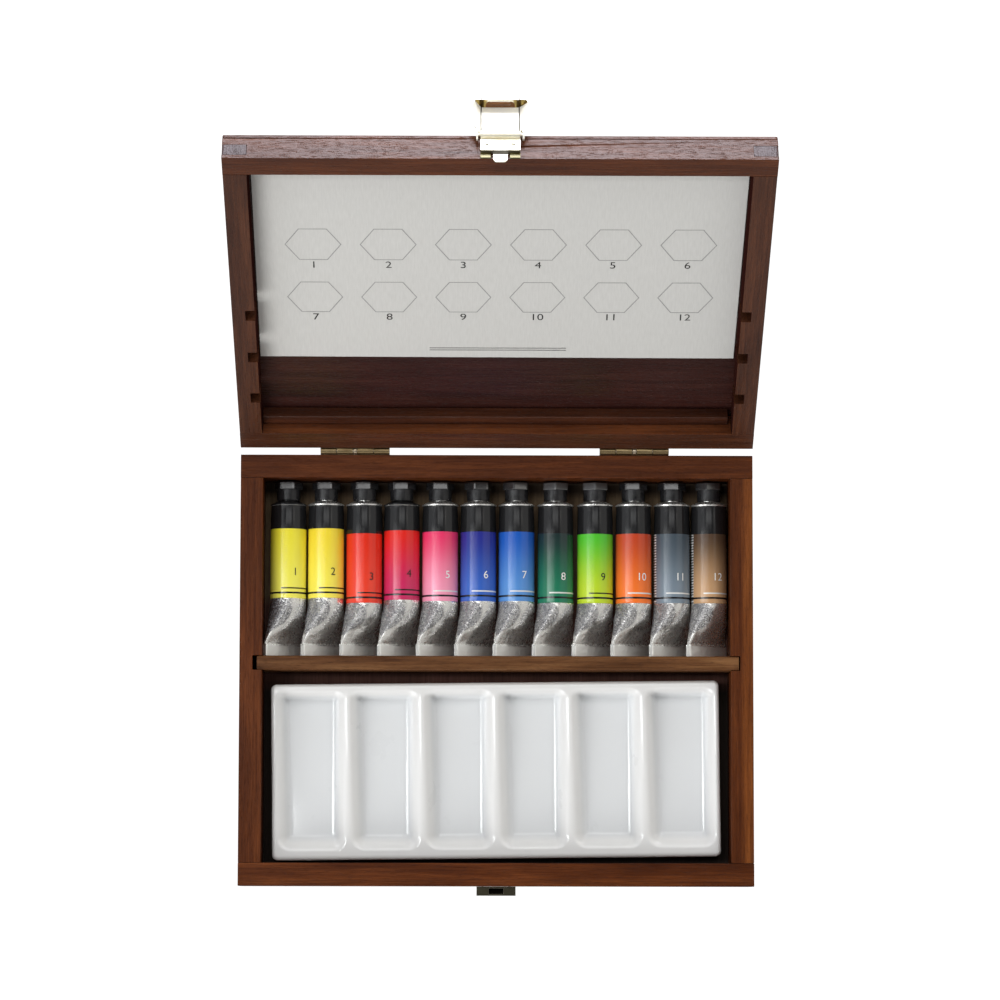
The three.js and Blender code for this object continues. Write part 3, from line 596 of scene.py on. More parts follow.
def make_print_group():
    """A tube's printed label, and the seal and dents of its bare metal."""
    tree, w, given, out = new_group(
        "tube_print",
        [("Place", "Vector", None), ("Top Colour", "Color", None), ("Foot Colour", "Color", None),
         ("Ink", "Color", None), ("Strip", "Float", 0.0), ("Bead", "Float", 1.0)],
        [("Color", "Color"), ("Roughness", "Float"), ("Metallic", "Float"), ("Height", "Float")])
    parts = w.parts(given.outputs["Place"])
    around = w.times(w.minus(parts[0], 0.5), PRINT_SPAN)
    along = w.times(parts[1], PRINT_SPAN)
    place = object_place(w)
    shoulder = w.spread(along, LABEL_START - 0.1, LABEL_START)
    black_top = w.times(w.minus(1.0, shoulder), w.minus(1.0, given.outputs["Bead"]))
    label = w.blend(black_top, label_colour(w, given, around, along), LABEL_BLACK)
    printed = w.math("MAXIMUM", w.band(along, LABEL_START, STRIPE_END, RULE_SOFT), black_top)
    bare = w.minus(1.0, printed)

    in_seal = seal_mask(w, around, along)
    curl = w.noise(place, CURL_SCALE, 3.0, 0.7, 2.2)
    metal = bare_metal(w, place, along, in_seal, curl)
    metal_roughness = w.level(w.noise(place, 0.8, 3.0, 0.6), 0.22, 0.34)
    print_roughness = w.level(w.noise(place, 0.5, 3.0, 0.6), 0.10, 0.16)
    roughness = w.plus(w.times(print_roughness, printed), w.times(metal_roughness, bare))
    fin_roughness = w.spread(along, TUBE_FIN_START, TUBE_FIN_START + 1.0, 0.0, 0.5)

    stipple = w.node("ShaderNodeTexVoronoi", {"Vector": place, "Scale": STIPPLE_SCALE}).outputs["Distance"]
    relief = w.math("MAXIMUM", w.spread(curl, 0.48, 0.54), w.spread(stipple, 0.15, 0.4, 0.5, 0.0))
    relief = w.times(w.times(relief, in_seal), w.times(bare, SEAL_RELIEF))
    dents = w.times(w.noise(place, 0.30, 2.0, 0.5, 0.6), w.times(bare, DENT_RELIEF))
    w.fill(out, {"Color": w.blend(printed, metal, label), "Metallic": w.times(bare, BARE_METALLIC),
                 "Roughness": w.math("MAXIMUM", roughness, fin_roughness),
                 "Height": w.plus(relief, dents)})
    return tree


GRAIN = make_grain_group()
WEAR = make_wear_group()
PRINT = make_print_group()


# Materials

WOOD_TONES = ((0.032, 0.0075, 0.0028, 1), (0.075, 0.0195, 0.0054, 1), (0.145, 0.041, 0.011, 1))
LID_TONES = ((0.026, 0.0075, 0.0036, 1), (0.058, 0.018, 0.0075, 1), (0.11, 0.037, 0.015, 1))
# Paler tones painted on the lid's back wall's inner face, as light where it faces the lamps
INNER_LIT_TONES = ((0.050, 0.0125, 0.005, 1), (0.115, 0.033, 0.011, 1), (0.20, 0.062, 0.02, 1))
# End grain has its own greyer tone, and is painted paler and bluer as sheen
END_GRAIN_SHEEN_TONES = ((0.036, 0.018, 0.017, 1), (0.060, 0.035, 0.037, 1), (0.088, 0.056, 0.060, 1))
OLIVE_TONES = ((0.06, 0.022, 0.008, 1), (0.125, 0.052, 0.020, 1), (0.20, 0.095, 0.038, 1))
BATTEN_TONES = ((0.022, 0.0065, 0.0036, 1), (0.046, 0.0135, 0.0062, 1), (0.085, 0.026, 0.0105, 1))
PLYWOOD_TONES = ((0.34, 0.24, 0.14, 1), (0.52, 0.39, 0.24, 1), (0.68, 0.54, 0.36, 1))
# Painted shade on the plywood floor: near black round the palette, dim under the tubes, darker again by the back
# wall
PALETTE_BAY_SHADE = ((0.04, 0.028, 0.026, 1), (0.22, 0.12, 0.14, 1))
TUBE_BAY_SHADE = (0.34, 0.30, 0.26, 1)
BACK_WALL_SHADE = (0.10, 0.08, 0.07, 1)
CARD_TONES = ((0.535, 0.53, 0.51, 1), (0.59, 0.585, 0.565, 1))
GLAZE_TONES = ((0.74, 0.74, 0.735, 1), (0.77, 0.77, 0.76, 1))
# Painted shade: the glaze turns greyer and bluer towards the wells' floors
WELL_FLOOR_SHADE = (0.64, 0.67, 0.70, 1)
CAP_TONES = ((0.010, 0.010, 0.011, 1), (0.022, 0.022, 0.024, 1))
FLOOR_TONES = ((0.10, 0.10, 0.10, 1), (0.12, 0.12, 0.12, 1))
CEILING_TONES = ((0.0145, 0.0045, 0.0038, 1), (0.029, 0.0083, 0.0066, 1), (0.049, 0.0155, 0.011, 1))
WOOD_GLOSS = 0.08
LID_GLOSS = 0.22

# Where the floor's painted shade changes, measured from the box's middle, and where a wall is paler
BAY_SHADE_LIGHTER = (-9.0, -3.5)
BAY_SHADE_END = (30.0, 35.0)
BACK_SHADE_START = (79.0, 82.5)
PALE_BAND_FROM = 109.3
PALE_BAND_TO = 111.3
PALE_BAND_TINT = (1.8, 2.0, 1.75, 1)

# Turns that lay the grain along an axis
GRAIN_ALONG_Y = (0, 0, math.radians(90))
GRAIN_ALONG_X = (0, 0, 0)
GRAIN_UPRIGHT = (0, math.radians(90), 0)

# The turn of the grain along a wall, and the axis at whose ends it shows end grain
CROSSWISE = (GRAIN_ALONG_X, (1, 0, 0))
LENGTHWISE = (GRAIN_ALONG_Y, (0, 1, 0))


def wood_material(name, turn, shift, tones=WOOD_TONES, lid_side=False, figure=1.0, pale_band=False,
                  gloss=None):
    if gloss is None:
        gloss = LID_GLOSS if lid_side else WOOD_GLOSS
    material, w, shader = new_material(name, 0.3, specular=gloss)
    solid_place = object_place(w)
    place = w.mapped(solid_place, turn=(LID_ANGLE, 0, 0)) if lid_side else solid_place
    grain = w.group(GRAIN, {"Place": w.mapped(place, turn=turn, shift=shift), "Dark": tones[0],
                            "Middle": tones[1], "Light": tones[2], "Figure": figure, "Pores": 1.0})
    colour = grain.outputs["Color"]
    if pale_band:
        band = w.spread(w.parts(solid_place)[0], PALE_BAND_FROM, PALE_BAND_TO)
        colour = w.blend(band, colour, w.blend(1.0, colour, PALE_BAND_TINT, "MULTIPLY"))
    w.fill(shader, {"Base Color": colour, "Roughness": grain.outputs["Roughness"]})
    bump(w, shader, grain.outputs["Height"], WOOD_RELIEF)
    return material


def plywood_material():
    material, w, shader = new_material("pale_plywood", 0.7, specular=0.3)
    place = object_place(w)
    dark, middle, light = PLYWOOD_TONES
    grain = w.group(GRAIN, {"Place": w.mapped(place, turn=GRAIN_ALONG_Y), "Dark": dark,
                            "Middle": middle, "Light": light, "Figure": 1.4, "Pores": 0.5})
    along = w.parts(place)[1]
    # The floor's colour is multiplied by painted shade, darkest in the palette's bay and by the back wall
    floor_shade = w.blend(w.spread(along, *BAY_SHADE_LIGHTER), *PALETTE_BAY_SHADE)
    floor_shade = w.blend(w.spread(along, *BAY_SHADE_END), floor_shade, TUBE_BAY_SHADE)
    floor_shade = w.blend(w.spread(along, *BACK_SHADE_START), floor_shade, BACK_WALL_SHADE)
    w.feed(shader.inputs["Base Color"], w.blend(1.0, grain.outputs["Color"], floor_shade, "MULTIPLY"))
    bump(w, shader, grain.outputs["Height"], WOOD_RELIEF)
    return material


def card_material():
    material, w, shader = new_material("linen_card", 0.75, specular=0.3)
    place = w.mapped(object_place(w), turn=(LID_ANGLE, 0, 0))
    threads, weft = (w.math("SINE", w.times(part, THREAD_TURN)) for part in w.parts(place)[:2])
    weave = w.plus(w.times(threads, 0.5), w.times(weft, 0.5))
    fibre = w.noise(w.mapped(place, scale=(1.0, 0.12, 1.0)), 1.4, 3.0, 0.6)
    tone = w.plus(w.level(fibre, 0.0, 0.8), w.times(weave, 0.1))
    w.feed(shader.inputs["Base Color"], w.blend(tone, *CARD_TONES))
    bump(w, shader, w.plus(weave, fibre), CARD_RELIEF)
    return material


def ink_material(name, colour, roughness=0.5):
    material, w, shader = new_material(name, roughness, specular=0.3)
    speck = w.noise(object_place(w), 3.0, 2.0, 0.6)
    lighter = tuple(min(1.0, channel * 1.35 + 0.004) for channel in colour[:3]) + (1,)
    w.feed(shader.inputs["Base Color"], w.blend(w.spread(speck, 0.35, 0.7), colour, lighter))
    bump(w, shader, speck, INK_RELIEF)
    return material


def porcelain_material():
    material, w, shader = new_material("white_glaze", 0.3, coat=1.0, coat_roughness=0.05, specular=0.2)
    place = object_place(w)
    wear = w.group(WEAR, {"Place": place, "Scale": 0.25})
    tint = w.blend(wear.outputs["Smudges"], *GLAZE_TONES)
    top = node_box("palette")[1].z
    # Painted shade: half way to a bluer grey from just below the rim down to the wells' floors
    well_shade = w.spread(w.parts(place)[2], top - GLAZE_FLOOR_BELOW, top - GLAZE_RIM_BELOW, 1.0, 0.0)
    tint = w.blend(w.times(well_shade, 0.5), tint, WELL_FLOOR_SHADE)
    w.feed(shader.inputs["Base Color"], tint)
    w.feed(shader.inputs["Roughness"], w.level(wear.outputs["Smudges"], 0.26, 0.36))
    bump(w, shader, w.noise(place, 0.12, 2.0, 0.5), GLAZE_RELIEF)
    return material


def brass_material(name, pale, deep, roughness, tarnish, metallic=1.0, shade=None):
    material, w, shader = new_material(name, roughness, metallic=metallic)
    place = object_place(w)
    wear = w.group(WEAR, {"Place": place, "Scale": 1.0})
    scratches, smudges, speckle = (wear.outputs[mark] for mark in ("Scratches", "Smudges", "Speckle"))
    colour = w.blend(w.level(smudges), pale, deep)
    colour = w.blend(w.times(w.spread(speckle, 0.5, 0.75), tarnish), colour, TARNISH)
    if shade:
        colour = shade(w, place, colour)
    w.feed(shader.inputs["Base Color"], colour)
    rough = w.level(smudges, roughness - 0.05, roughness + 0.08)
    w.feed(shader.inputs["Roughness"], w.plus(rough, w.times(scratches, 0.12)))
    bump(w, shader, w.plus(scratches, speckle), BRASS_RELIEF)
    return material


def closed_parts(w, place, closing):
    """The three coordinates that a place has when the box is closed."""
    return w.parts(w.mapped(place, turn=closing.to_euler(), shift=closing.translation))


def bend_shade(w, place, colour):
    """Painted shade in dull olive where the latch's plate bends down to its tongue and feet, near black above the
    tongue.
    """
    parts = closed_parts(w, place, LID_CLOSING)
    at_side = w.spread(w.math("ABSOLUTE", parts[0]), TONGUE_SIDE, TONGUE_SIDE + INK_STRIP)
    below_top = w.spread(parts[2], BEND_TOP - BEND_SOFT, BEND_TOP, 1.0, 0.0)
    colour = w.blend(w.times(at_side, below_top), colour, FOOT_SHADE_OLIVE)
    low = w.spread(at_side, 0.0, 1.0, BEND_LOW, BEND_MIDDLE)
    band = w.times(w.spread(w.minus(parts[2], low), 0.0, BEND_SOFT), below_top)
    return w.blend(band, colour, w.blend(at_side, TONGUE_SHADOW, BEND_SHADE_OLIVE))


def snap_shade(w, place, colour):
    """Painted reflection and shade on the flap's end wall: brown reflection on its pressed snap, pale reflection
    round it, dark shade at its corners.
    """
    parts = closed_parts(w, place, FLAP_CLOSING)
    across = w.math("DIVIDE", w.math("ABSOLUTE", parts[0]), SNAP_REACH)
    out = w.math("ABSOLUTE", w.math("DIVIDE", w.plus(parts[1], SNAP_DEPTH), SNAP_HEIGHT))
    square = w.plus(w.math("POWER", across, SNAP_SQUARENESS), w.math("POWER", out, SNAP_SQUARENESS))
    dark = w.band(across, SNAP_DARK[0] / SNAP_REACH, SNAP_DARK[1] / SNAP_REACH, SNAP_SOFT)
    colour = w.blend(dark, colour, SNAP_SHADOW)
    colour = w.blend(w.spread(across, 0.8, 0.95, 1.0, 0.0), colour, PALE_BRASS)
    return w.blend(w.spread(square, 0.9, 1.0, 1.0, 0.0), colour, SNAP_BROWN_REFLECTION)


def crease_shade(w, place, colour):
    """A thin line of painted shade where the flap's sides rise from its plate."""
    across = w.math("ABSOLUTE", closed_parts(w, place, FLAP_CLOSING)[0])
    return w.blend(w.band(across, *CREASE, CREASE_SOFT), colour, CREASE_SHADE_TONE)


def cap_material(name, specular, refraction):
    material, w, shader = new_material(name, 0.2, specular=specular)
    wear = w.group(WEAR, {"Place": object_place(w), "Scale": 1.6})
    smudges = wear.outputs["Smudges"]
    w.fill(shader, {"IOR": refraction, "Base Color": w.blend(w.level(smudges), *CAP_TONES),
                    "Roughness": w.level(smudges, 0.15, 0.22)})
    bump(w, shader, wear.outputs["Speckle"], PLASTIC_RELIEF)
    return material


def tube_material(number, top, foot, ink, strip, bead):
    material, w, shader = new_material("printed_metal_%02d" % number, 0.25)
    place = w.node("ShaderNodeUVMap", uv_map=PRINT_MAP).outputs[0]
    printed = w.group(PRINT, {"Place": place, "Top Colour": top, "Foot Colour": foot,
                              "Ink": ink, "Strip": strip, "Bead": bead})
    w.fill(shader, {"Base Color": printed.outputs["Color"], "Roughness": printed.outputs["Roughness"],
                    "Metallic": printed.outputs["Metallic"]})
    bump(w, shader, printed.outputs["Height"], 1.0)
    return material


TARNISH = (0.10, 0.07, 0.03, 1)
PALE_BRASS = (0.93, 0.90, 0.78, 1)
DEEP_BRASS = (0.88, 0.82, 0.64, 1)
# Painted shade where the latch's plate bends down to its tongue and feet
FOOT_SHADE_OLIVE = (0.11, 0.10, 0.055, 1)
BEND_SHADE_OLIVE = (0.11, 0.088, 0.030, 1)
TONGUE_SHADOW = (0.008, 0.0068, 0.0024, 1)
# Painted brown reflection on the flap's snap, and painted shade towards its corners
SNAP_BROWN_REFLECTION = (0.17, 0.078, 0.036, 1)
SNAP_SHADOW = (0.06, 0.036, 0.010, 1)
# A painted shade line in the flap's creases
CREASE_SHADE_TONE = (0.03, 0.026, 0.023, 1)

# Paler and deeper tone, roughness, tarnish, metallic share and own shade of each brass
POLISHED = brass_material("polished_brass", PALE_BRASS, DEEP_BRASS, 0.34, 0.08, 0.85)
BENT_BRASS = brass_material("bent_brass", PALE_BRASS, DEEP_BRASS, 0.34, 0.08, 0.85, bend_shade)
FLAP_BRASS = brass_material("flap_brass", (0.96, 0.95, 0.88, 1), (0.94, 0.92, 0.82, 1), 0.5, 0.03, 0.45,
                            crease_shade)
CORNER_BRASS = brass_material("corner_brass", (0.62, 0.47, 0.17, 1), (0.20, 0.14, 0.04, 1), 0.3, 0.4,
                              1.0, snap_shade)
# Near black rounded edges: painted shade outlining the flap and the latch's plate
EDGE_SHADE_BRASS = brass_material("brass_edges_painted_shade", (0.007, 0.0055, 0.004, 1), (0.005, 0.004, 0.003, 1), 0.45, 0.1)
# The catch is painted dark as shade, and its rounded edges pale as highlight
CATCH_SHADED_BRASS = brass_material("catch_brass_painted_shade", (0.062, 0.056, 0.038, 1), (0.040, 0.036, 0.025, 1), 0.4, 0.2)
CATCH_EDGE_HIGHLIGHT = brass_material("catch_edges_painted_highlight", (0.34, 0.31, 0.25, 1), (0.26, 0.23, 0.18, 1), 0.4, 0.2)
# Near black: painted shade in the catch's window
WINDOW_SHADE_BRASS = brass_material("catch_window_painted_shade", (0.006, 0.005, 0.004, 1), (0.004, 0.003, 0.002, 1), 0.6, 0.1)
AGED = brass_material("aged_brass", (0.27, 0.205, 0.11, 1), (0.17, 0.12, 0.06, 1), 0.34, 0.6)
PALE_KNUCKLE_BRASS = brass_material("pale_knuckle_brass", (0.55, 0.47, 0.36, 1), (0.38, 0.30, 0.20, 1), 0.3, 0.3)
# Dark rounded knuckle edges: painted shade between the knuckles
KNUCKLE_EDGE_SHADE = brass_material("knuckle_edges_painted_shade", (0.05, 0.035, 0.02, 1), (0.03, 0.02, 0.012, 1), 0.4, 0.3)
HINGE_MIDDLES = [(low.x + high.x) / 2 for low, high in
                 (node_box("hinge_left_base_leaf"), node_box("hinge_right_base_leaf"))]


# Wooden pieces


def weigh_wood_edges(form, placing):
    """Long edges and the box's upright corners are rounded, and the finger joints stay flush."""
    layer = form.edges.layers.float.new("bevel_weight_edge")
    corner = Vector((HALF_WIDTH, HALF_LENGTH))
    for edge in form.edges:
        a, b = (placing @ vert.co for vert in edge.verts)
        upright = abs((a - b).normalized().z) > FACING
        middle = (a + b) / 2
        at_corner = (Vector((abs(middle.x), abs(middle.y))) - corner).length < WOOD_ROUND
        if edge.calc_length() > LONG_EDGE:
            edge[layer] = LONG_ROUND_SHARE
        elif upright and at_corner:
            edge[layer] = CORNER_ROUND_SHARE
        else:
            edge[layer] = JOINT_ROUND_SHARE


def wooden_piece(node, name, material, placing=Matrix.Identity(4), faced=()):
    """A wooden piece. Faces turned along a given axis, from a given reach on, take another material."""
    form = form_of(node)
    weigh_wood_edges(form, placing)
    turn = placing.to_3x3()
    for face in form.faces:
        normal = turn @ face.normal
        middle = placing @ face.calc_center_median()
        for index, (axis, reach, _) in enumerate(faced):
            if normal.dot(Vector(axis)) > FACING and middle.dot(Vector(axis)) > reach:
                face.material_index = index + 1
    piece = stand_in(node, name, form, [material] + [other for _, _, other in faced])
    round_edges(piece, WOOD_ROUND, 3, by_weight=True)


def end_faces(axis, material):
    """The two outermost faces of a wall along an axis, where its grain ends."""
    reach = (HALF_WIDTH if axis[0] else HALF_LENGTH) - END_DEPTH
    return [(axis, reach, material), (tuple(-part for part in axis), reach, material)]


def make_base():
    ends = wood_material("base_end_grain_sheen", GRAIN_UPRIGHT, (4, 9, 2), tones=END_GRAIN_SHEEN_TONES)
    walls = (("front", CROSSWISE, (13, 5, 2)), ("back", CROSSWISE, (140, 44, 9)),
             ("left", LENGTHWISE, (33, 71, 4)), ("right", LENGTHWISE, (61, 17, 8)))
    for side, (turn, end_axis), shift in walls:
        name = "stained_%s_wall" % side
        material = wood_material(name + "_wood", turn, shift, pale_band=side == "right")
        wooden_piece("base_%s_wall" % side, name, material, faced=end_faces(end_axis, ends))
    outside = wood_material("bottom_panel_outside", GRAIN_ALONG_X, (21, 6, 30))
    wooden_piece("base_bottom_panel", "plywood_floor", outside,
                 faced=[((0, 0, 1), ANYWHERE, plywood_material())])


def lid_wood(name, turn, shift, tones=LID_TONES, gloss=None):
    return wood_material(name, turn, shift, tones, lid_side=True, gloss=gloss)


def make_lid():
    ends = lid_wood("lid_end_grain_sheen", GRAIN_UPRIGHT, (2, 7, 5), END_GRAIN_SHEEN_TONES)
    ceiling = lid_wood("ceiling_wood", GRAIN_ALONG_X, (8, 3, 1), CEILING_TONES)
    # The back wall's inner face takes paler tones: painted light
    inner = lid_wood("lid_back_inner_lit_wood", GRAIN_ALONG_X, (44, 2, 9), INNER_LIT_TONES)
    front = lid_wood("panel_front_wood", GRAIN_ALONG_X, (31, 8, 5), WOOD_TONES)
    # The side walls' inner faces take the ceiling's darker tones without gloss: painted shade beside the card
    shaded = lid_wood("lid_inner_side_painted_shade", GRAIN_ALONG_Y, (9, 27, 3), CEILING_TONES, gloss=0.0)
    pieces = (("front_wall", "front", WOOD_TONES, CROSSWISE, (71, 12, 3), []),
              ("back_wall", "back", LID_TONES, CROSSWISE, (7, 33, 17), [((0, -1, 0), ANYWHERE, inner)]),
              ("left_wall", "left", LID_TONES, LENGTHWISE, (19, 48, 6), [((1, 0, 0), ANYWHERE, shaded)]),
              ("right_wall", "right", LID_TONES, LENGTHWISE, (88, 5, 1), [((-1, 0, 0), ANYWHERE, shaded)]),
              ("top_panel", "panel", LID_TONES, CROSSWISE, (29, 64, 21),
               [((0, 0, -1), ANYWHERE, ceiling), ((0, -1, 0), ANYWHERE, front)]))
    for part, side, tones, (turn, end_axis), shift, own_faces in pieces:
        name = "stained_lid_" + side
        material = lid_wood(name + "_wood", turn, shift, tones)
        wooden_piece("lid_" + part, name, material, LID_CLOSING, end_faces(end_axis, ends) + own_faces)
    batten = lid_wood("batten_wood", GRAIN_ALONG_X, (3, 21, 40), BATTEN_TONES)
    wooden_piece("lid_rear_batten", "dark_batten", batten, LID_CLOSING)


def make_divider():
    material = wood_material("divider_wood", GRAIN_ALONG_X, (55, 9, 77), tones=OLIVE_TONES, figure=1.3)
    wooden_piece("compartment_divider", "loose_divider", material)


# Brass pieces


def brass_piece(node, name, materials, edges=None, face_index=None, width=METAL_ROUND):
    """A brass piece whose rounded edges and some faces may take other materials."""
    form = form_of(node)
    if face_index:
        for face in form.faces:
            face.material_index = face_index(face)
    piece = stand_in(node, name, form, materials + ([edges] if edges else []))
    bevel = round_edges(piece, width, 2)
    if edges:
        bevel.material = len(materials)


def flap_face_index(face):
    """The inside of the flap's end wall has the snap."""
    place = FLAP_CLOSING @ face.calc_center_median()
    turned = FLAP_CLOSING.to_3x3() @ face.normal
    return 1 if place.z < FLAP_END_TOP and turned.z > 0 else 0


def hinge_face_index(face):
    """The narrow middle knuckle of a hinge is paler."""
    along = face.calc_center_median().x
    near = min(abs(along - middle) for middle in HINGE_MIDDLES)
    return 1 if near < MIDDLE_KNUCKLE_REACH else 0


def make_brass():
    for node in frame["nodes"]:
        if node.startswith("hinge_"):
            brass_piece(node, "aged_" + node, [AGED, PALE_KNUCKLE_BRASS], KNUCKLE_EDGE_SHADE, hinge_face_index)
        elif node == "latch_flap":
            brass_piece(node, "polished_" + node, [FLAP_BRASS, CORNER_BRASS], EDGE_SHADE_BRASS, flap_face_index,
                        FLAP_ROUND)
        elif node == "latch_lid_plate":
            brass_piece(node, "polished_" + node, [BENT_BRASS], EDGE_SHADE_BRASS)
        elif node == "catch_plate":
            brass_piece(node, "dark_" + node, [CATCH_SHADED_BRASS], CATCH_EDGE_HIGHLIGHT)
        elif node.startswith(("latch_", "catch_")):
            brass_piece(node, "polished_" + node, [POLISHED])
    make_catch_web()


def make_catch_web():
    """A dark sheet of painted shade that closes the catch's window below its lip."""
    low, high = node_box("catch_plate")
    inside = CATCH_SHEET / 2
    foot = high.z - CATCH_LIP - CATCH_SHADE_SHEET_BELOW
    near = Vector((-CATCH_WINDOW_HALF - inside, low.y + inside, foot))
    far = Vector((CATCH_WINDOW_HALF + inside, high.y - inside, foot + CATCH_SHADE_SHEET))
    form = bmesh.new()
    bmesh.ops.create_cube(form, size=1)
    bmesh.ops.scale(form, vec=far - near, verts=form.verts)
    bmesh.ops.translate(form, vec=(near + far) / 2, verts=form.verts)
    finish_object("catch_window_shade_sheet", form, [WINDOW_SHADE_BRASS], "base")


# Palette


def palette_inset(x, y, half_x, half_y):
    """Distance from a point inside the rounded outline to the outline."""
    qx = abs(x) - (half_x - PALETTE_CORNER)
    qy = abs(y) - (half_y - PALETTE_CORNER)
    outside = math.hypot(max(qx, 0), max(qy, 0))
    return PALETTE_CORNER - outside - min(max(qx, qy), 0)


def palette_half_width(y, half_x, half_y):
    over = abs(y) - (half_y - PALETTE_CORNER)
    if over <= 0:
        return half_x
    return half_x - PALETTE_CORNER + math.sqrt(max(0.0, PALETTE_CORNER ** 2 - over ** 2))


def rounded_meet(*shares):
    """The least of several shares, eased where two of them meet."""
    return 1 - min(1.0, sum(max(0.0, 1 - share) ** WELL_CORNER for share in shares) ** (1 / WELL_CORNER))


def well_slope(share):
    """A long rounded crest that meets the floor in a short hollow."""
    if share < WELL_CREST_SHARE:
        return share ** 2 / WELL_CREST_SHARE
    return 1 - (1 - share) ** 2 / (1 - WELL_CREST_SHARE)


def well_depth(x, y, half_y):
    """How far the glaze lies below the palette's top at a point."""
    middle = (WELL_COUNT - 1) / 2
    index = min(WELL_COUNT - 1, max(0, round(x / WELL_PITCH + middle)))
    from_middle = x - (index - middle) * WELL_PITCH
    back = half_y - WELL_BACK_BORDER
    front = -half_y + WELL_FRONT_BORDER
    side_slope = WELL_SIDE_SLOPE
    if from_middle < 0:
        side_slope += WELL_LEFT_LEAN * (back - y) / (back - front)
    side_share = (WELL_TOP_WIDTH / 2 - abs(from_middle)) / side_slope
    back_share = (back - y) / WELL_BACK_SLOPE
    front_share = (y - front) / WELL_FRONT_SLOPE
    share = rounded_meet(side_share, back_share, front_share)
    along = (y - front) / (back - front)
    return mix(WELL_FRONT_DEPTH, WELL_BACK_DEPTH, along) * well_slope(share)


def spaced(half):
    """Steps from one edge of the palette to the other, close together at both edges."""
    edge = list(PALETTE_EDGE_STEPS)
    inner_from = edge[-1]
    count = round((2 * half - 2 * inner_from) / PALETTE_GRID)
    inner = [mix(inner_from, 2 * half - inner_from, i / count) for i in range(1, count)]
    places = edge + inner + [2 * half - step for step in reversed(edge)]
    return [place - half for place in places]


def palette_wave(x, y, half_x):
    """How far the palette's uneven sides leave their straight lines, most at its left."""
    uneven = noise.noise(Vector((x / WAVE_SPAN[0], y / WAVE_SPAN[1], 0))) - WAVE_MIDDLE
    wave = PALETTE_WAVE * uneven * (1 if x < 0 else WAVE_RIGHT_SHARE)
    return abs(wave * smoothstep((abs(x) - half_x + WAVE_REACH) / WAVE_REACH))


def edge_drop(inset):
    """How far the rounded edge lies below the palette's top."""
    if inset >= PALETTE_EDGE:
        return 0.0
    return PALETTE_EDGE - math.sqrt(PALETTE_EDGE ** 2 - (PALETTE_EDGE - inset) ** 2)


def palette_row(form, y, half_x, half_y, height):
    """A row of points over the glaze, from the palette's left edge to its right."""
    reach = palette_half_width(y, half_x, half_y)
    row = []
    for along in spaced(half_x):
        x = along / half_x * reach
        inset = max(0.0, palette_inset(x, y, half_x, half_y))
        z = height - edge_drop(inset) - well_depth(x, y, half_y)
        row.append(form.verts.new((x - math.copysign(palette_wave(x, y, half_x), x), y, z)))
    return row


def make_palette():
    low, high = node_box("palette")
    centre = (low + high) / 2
    half_x, half_y = (size / 2 for size in PALETTE_SIZE)
    form = bmesh.new()
    rows = [palette_row(form, y, half_x, half_y, high.z - low.z) for y in spaced(half_y)]
    for row, following in zip(rows, rows[1:]):
        for i in range(len(row) - 1):
            form.faces.new((row[i], row[i + 1], following[i + 1], following[i]))
    outline = (rows[0] + [row[-1] for row in rows[1:]] + rows[-1][-2::-1]
               + [row[0] for row in rows[-2:0:-1]])
    close_palette(form, outline)
    place = Matrix.Translation((centre.x, centre.y, low.z)) @ Matrix.Rotation(PALETTE_TURN, 4, "Z")
    bmesh.ops.transform(form, matrix=place, verts=form.verts)
    stand_in("palette", "glazed_palette", form, [porcelain_material()], PALETTE_SMOOTH)


def close_palette(form, outline):
    """Sides and a flat foot below the palette's rounded outline."""
    sides = [form.verts.new((vert.co.x, vert.co.y, PALETTE_FOOT)) for vert in outline]
    foot = []
    for vert in outline:
        length = vert.co.xy.length
        share = (length - PALETTE_FOOT) / length
        foot.append(form.verts.new((vert.co.x * share, vert.co.y * share, 0)))
    for upper, lower in ((outline, sides), (sides, foot)):
        for i in range(len(upper)):
            j = (i + 1) % len(upper)
            form.faces.new((upper[j], upper[i], lower[i], lower[j]))
    form.faces.new(foot[::-1])
    bmesh.ops.recalc_face_normals(form, faces=form.faces)


# Paint tubes

# Field colour at the top and at the foot, ink, whether a barred strip shows, whether the shoulder
# is bare, and how far the label is raised towards the cap
BLACK_INK = (0.012, 0.011, 0.010, 1)
PALE_INK = (0.72, 0.72, 0.70, 1)
TUBES = (
    ((0.86, 0.76, 0.045, 1), (0.90, 0.84, 0.12, 1), BLACK_INK, 0, 0, 2.3),
    ((0.90, 0.70, 0.04, 1), (0.92, 0.80, 0.10, 1), BLACK_INK, 0, 1, 2.4),
    ((0.75, 0.030, 0.012, 1), (0.82, 0.060, 0.030, 1), BLACK_INK, 0, 1, 0.2),
    ((0.75, 0.022, 0.014, 1), (0.58, 0.028, 0.120, 1), BLACK_INK, 0, 0, 1.6),
    ((0.80, 0.040, 0.14, 1), (0.88, 0.32, 0.46, 1), PALE_INK, 0, 1, 1.1),
    ((0.024, 0.030, 0.26, 1), (0.042, 0.13, 0.52, 1), PALE_INK, 0, 1, 1.1),
    ((0.014, 0.10, 0.48, 1), (0.10, 0.28, 0.64, 1), PALE_INK, 0, 1, 1.1),
    ((0.014, 0.030, 0.030, 1), (0.018, 0.19, 0.10, 1), PALE_INK, 0, 1, 0.4),
    ((0.080, 0.52, 0.030, 1), (0.51, 0.68, 0.030, 1), BLACK_INK, 0, 1, 0.2),
    ((0.52, 0.060, 0.020, 1), (0.90, 0.19, 0.030, 1), PALE_INK, 0, 1, 0.3),
    ((0.060, 0.080, 0.10, 1), (0.19, 0.24, 0.29, 1), PALE_INK, 1, 1, 0.3),
    ((0.085, 0.050, 0.030, 1), (0.52, 0.31, 0.16, 1), PALE_INK, 1, 1, 0.3),
)


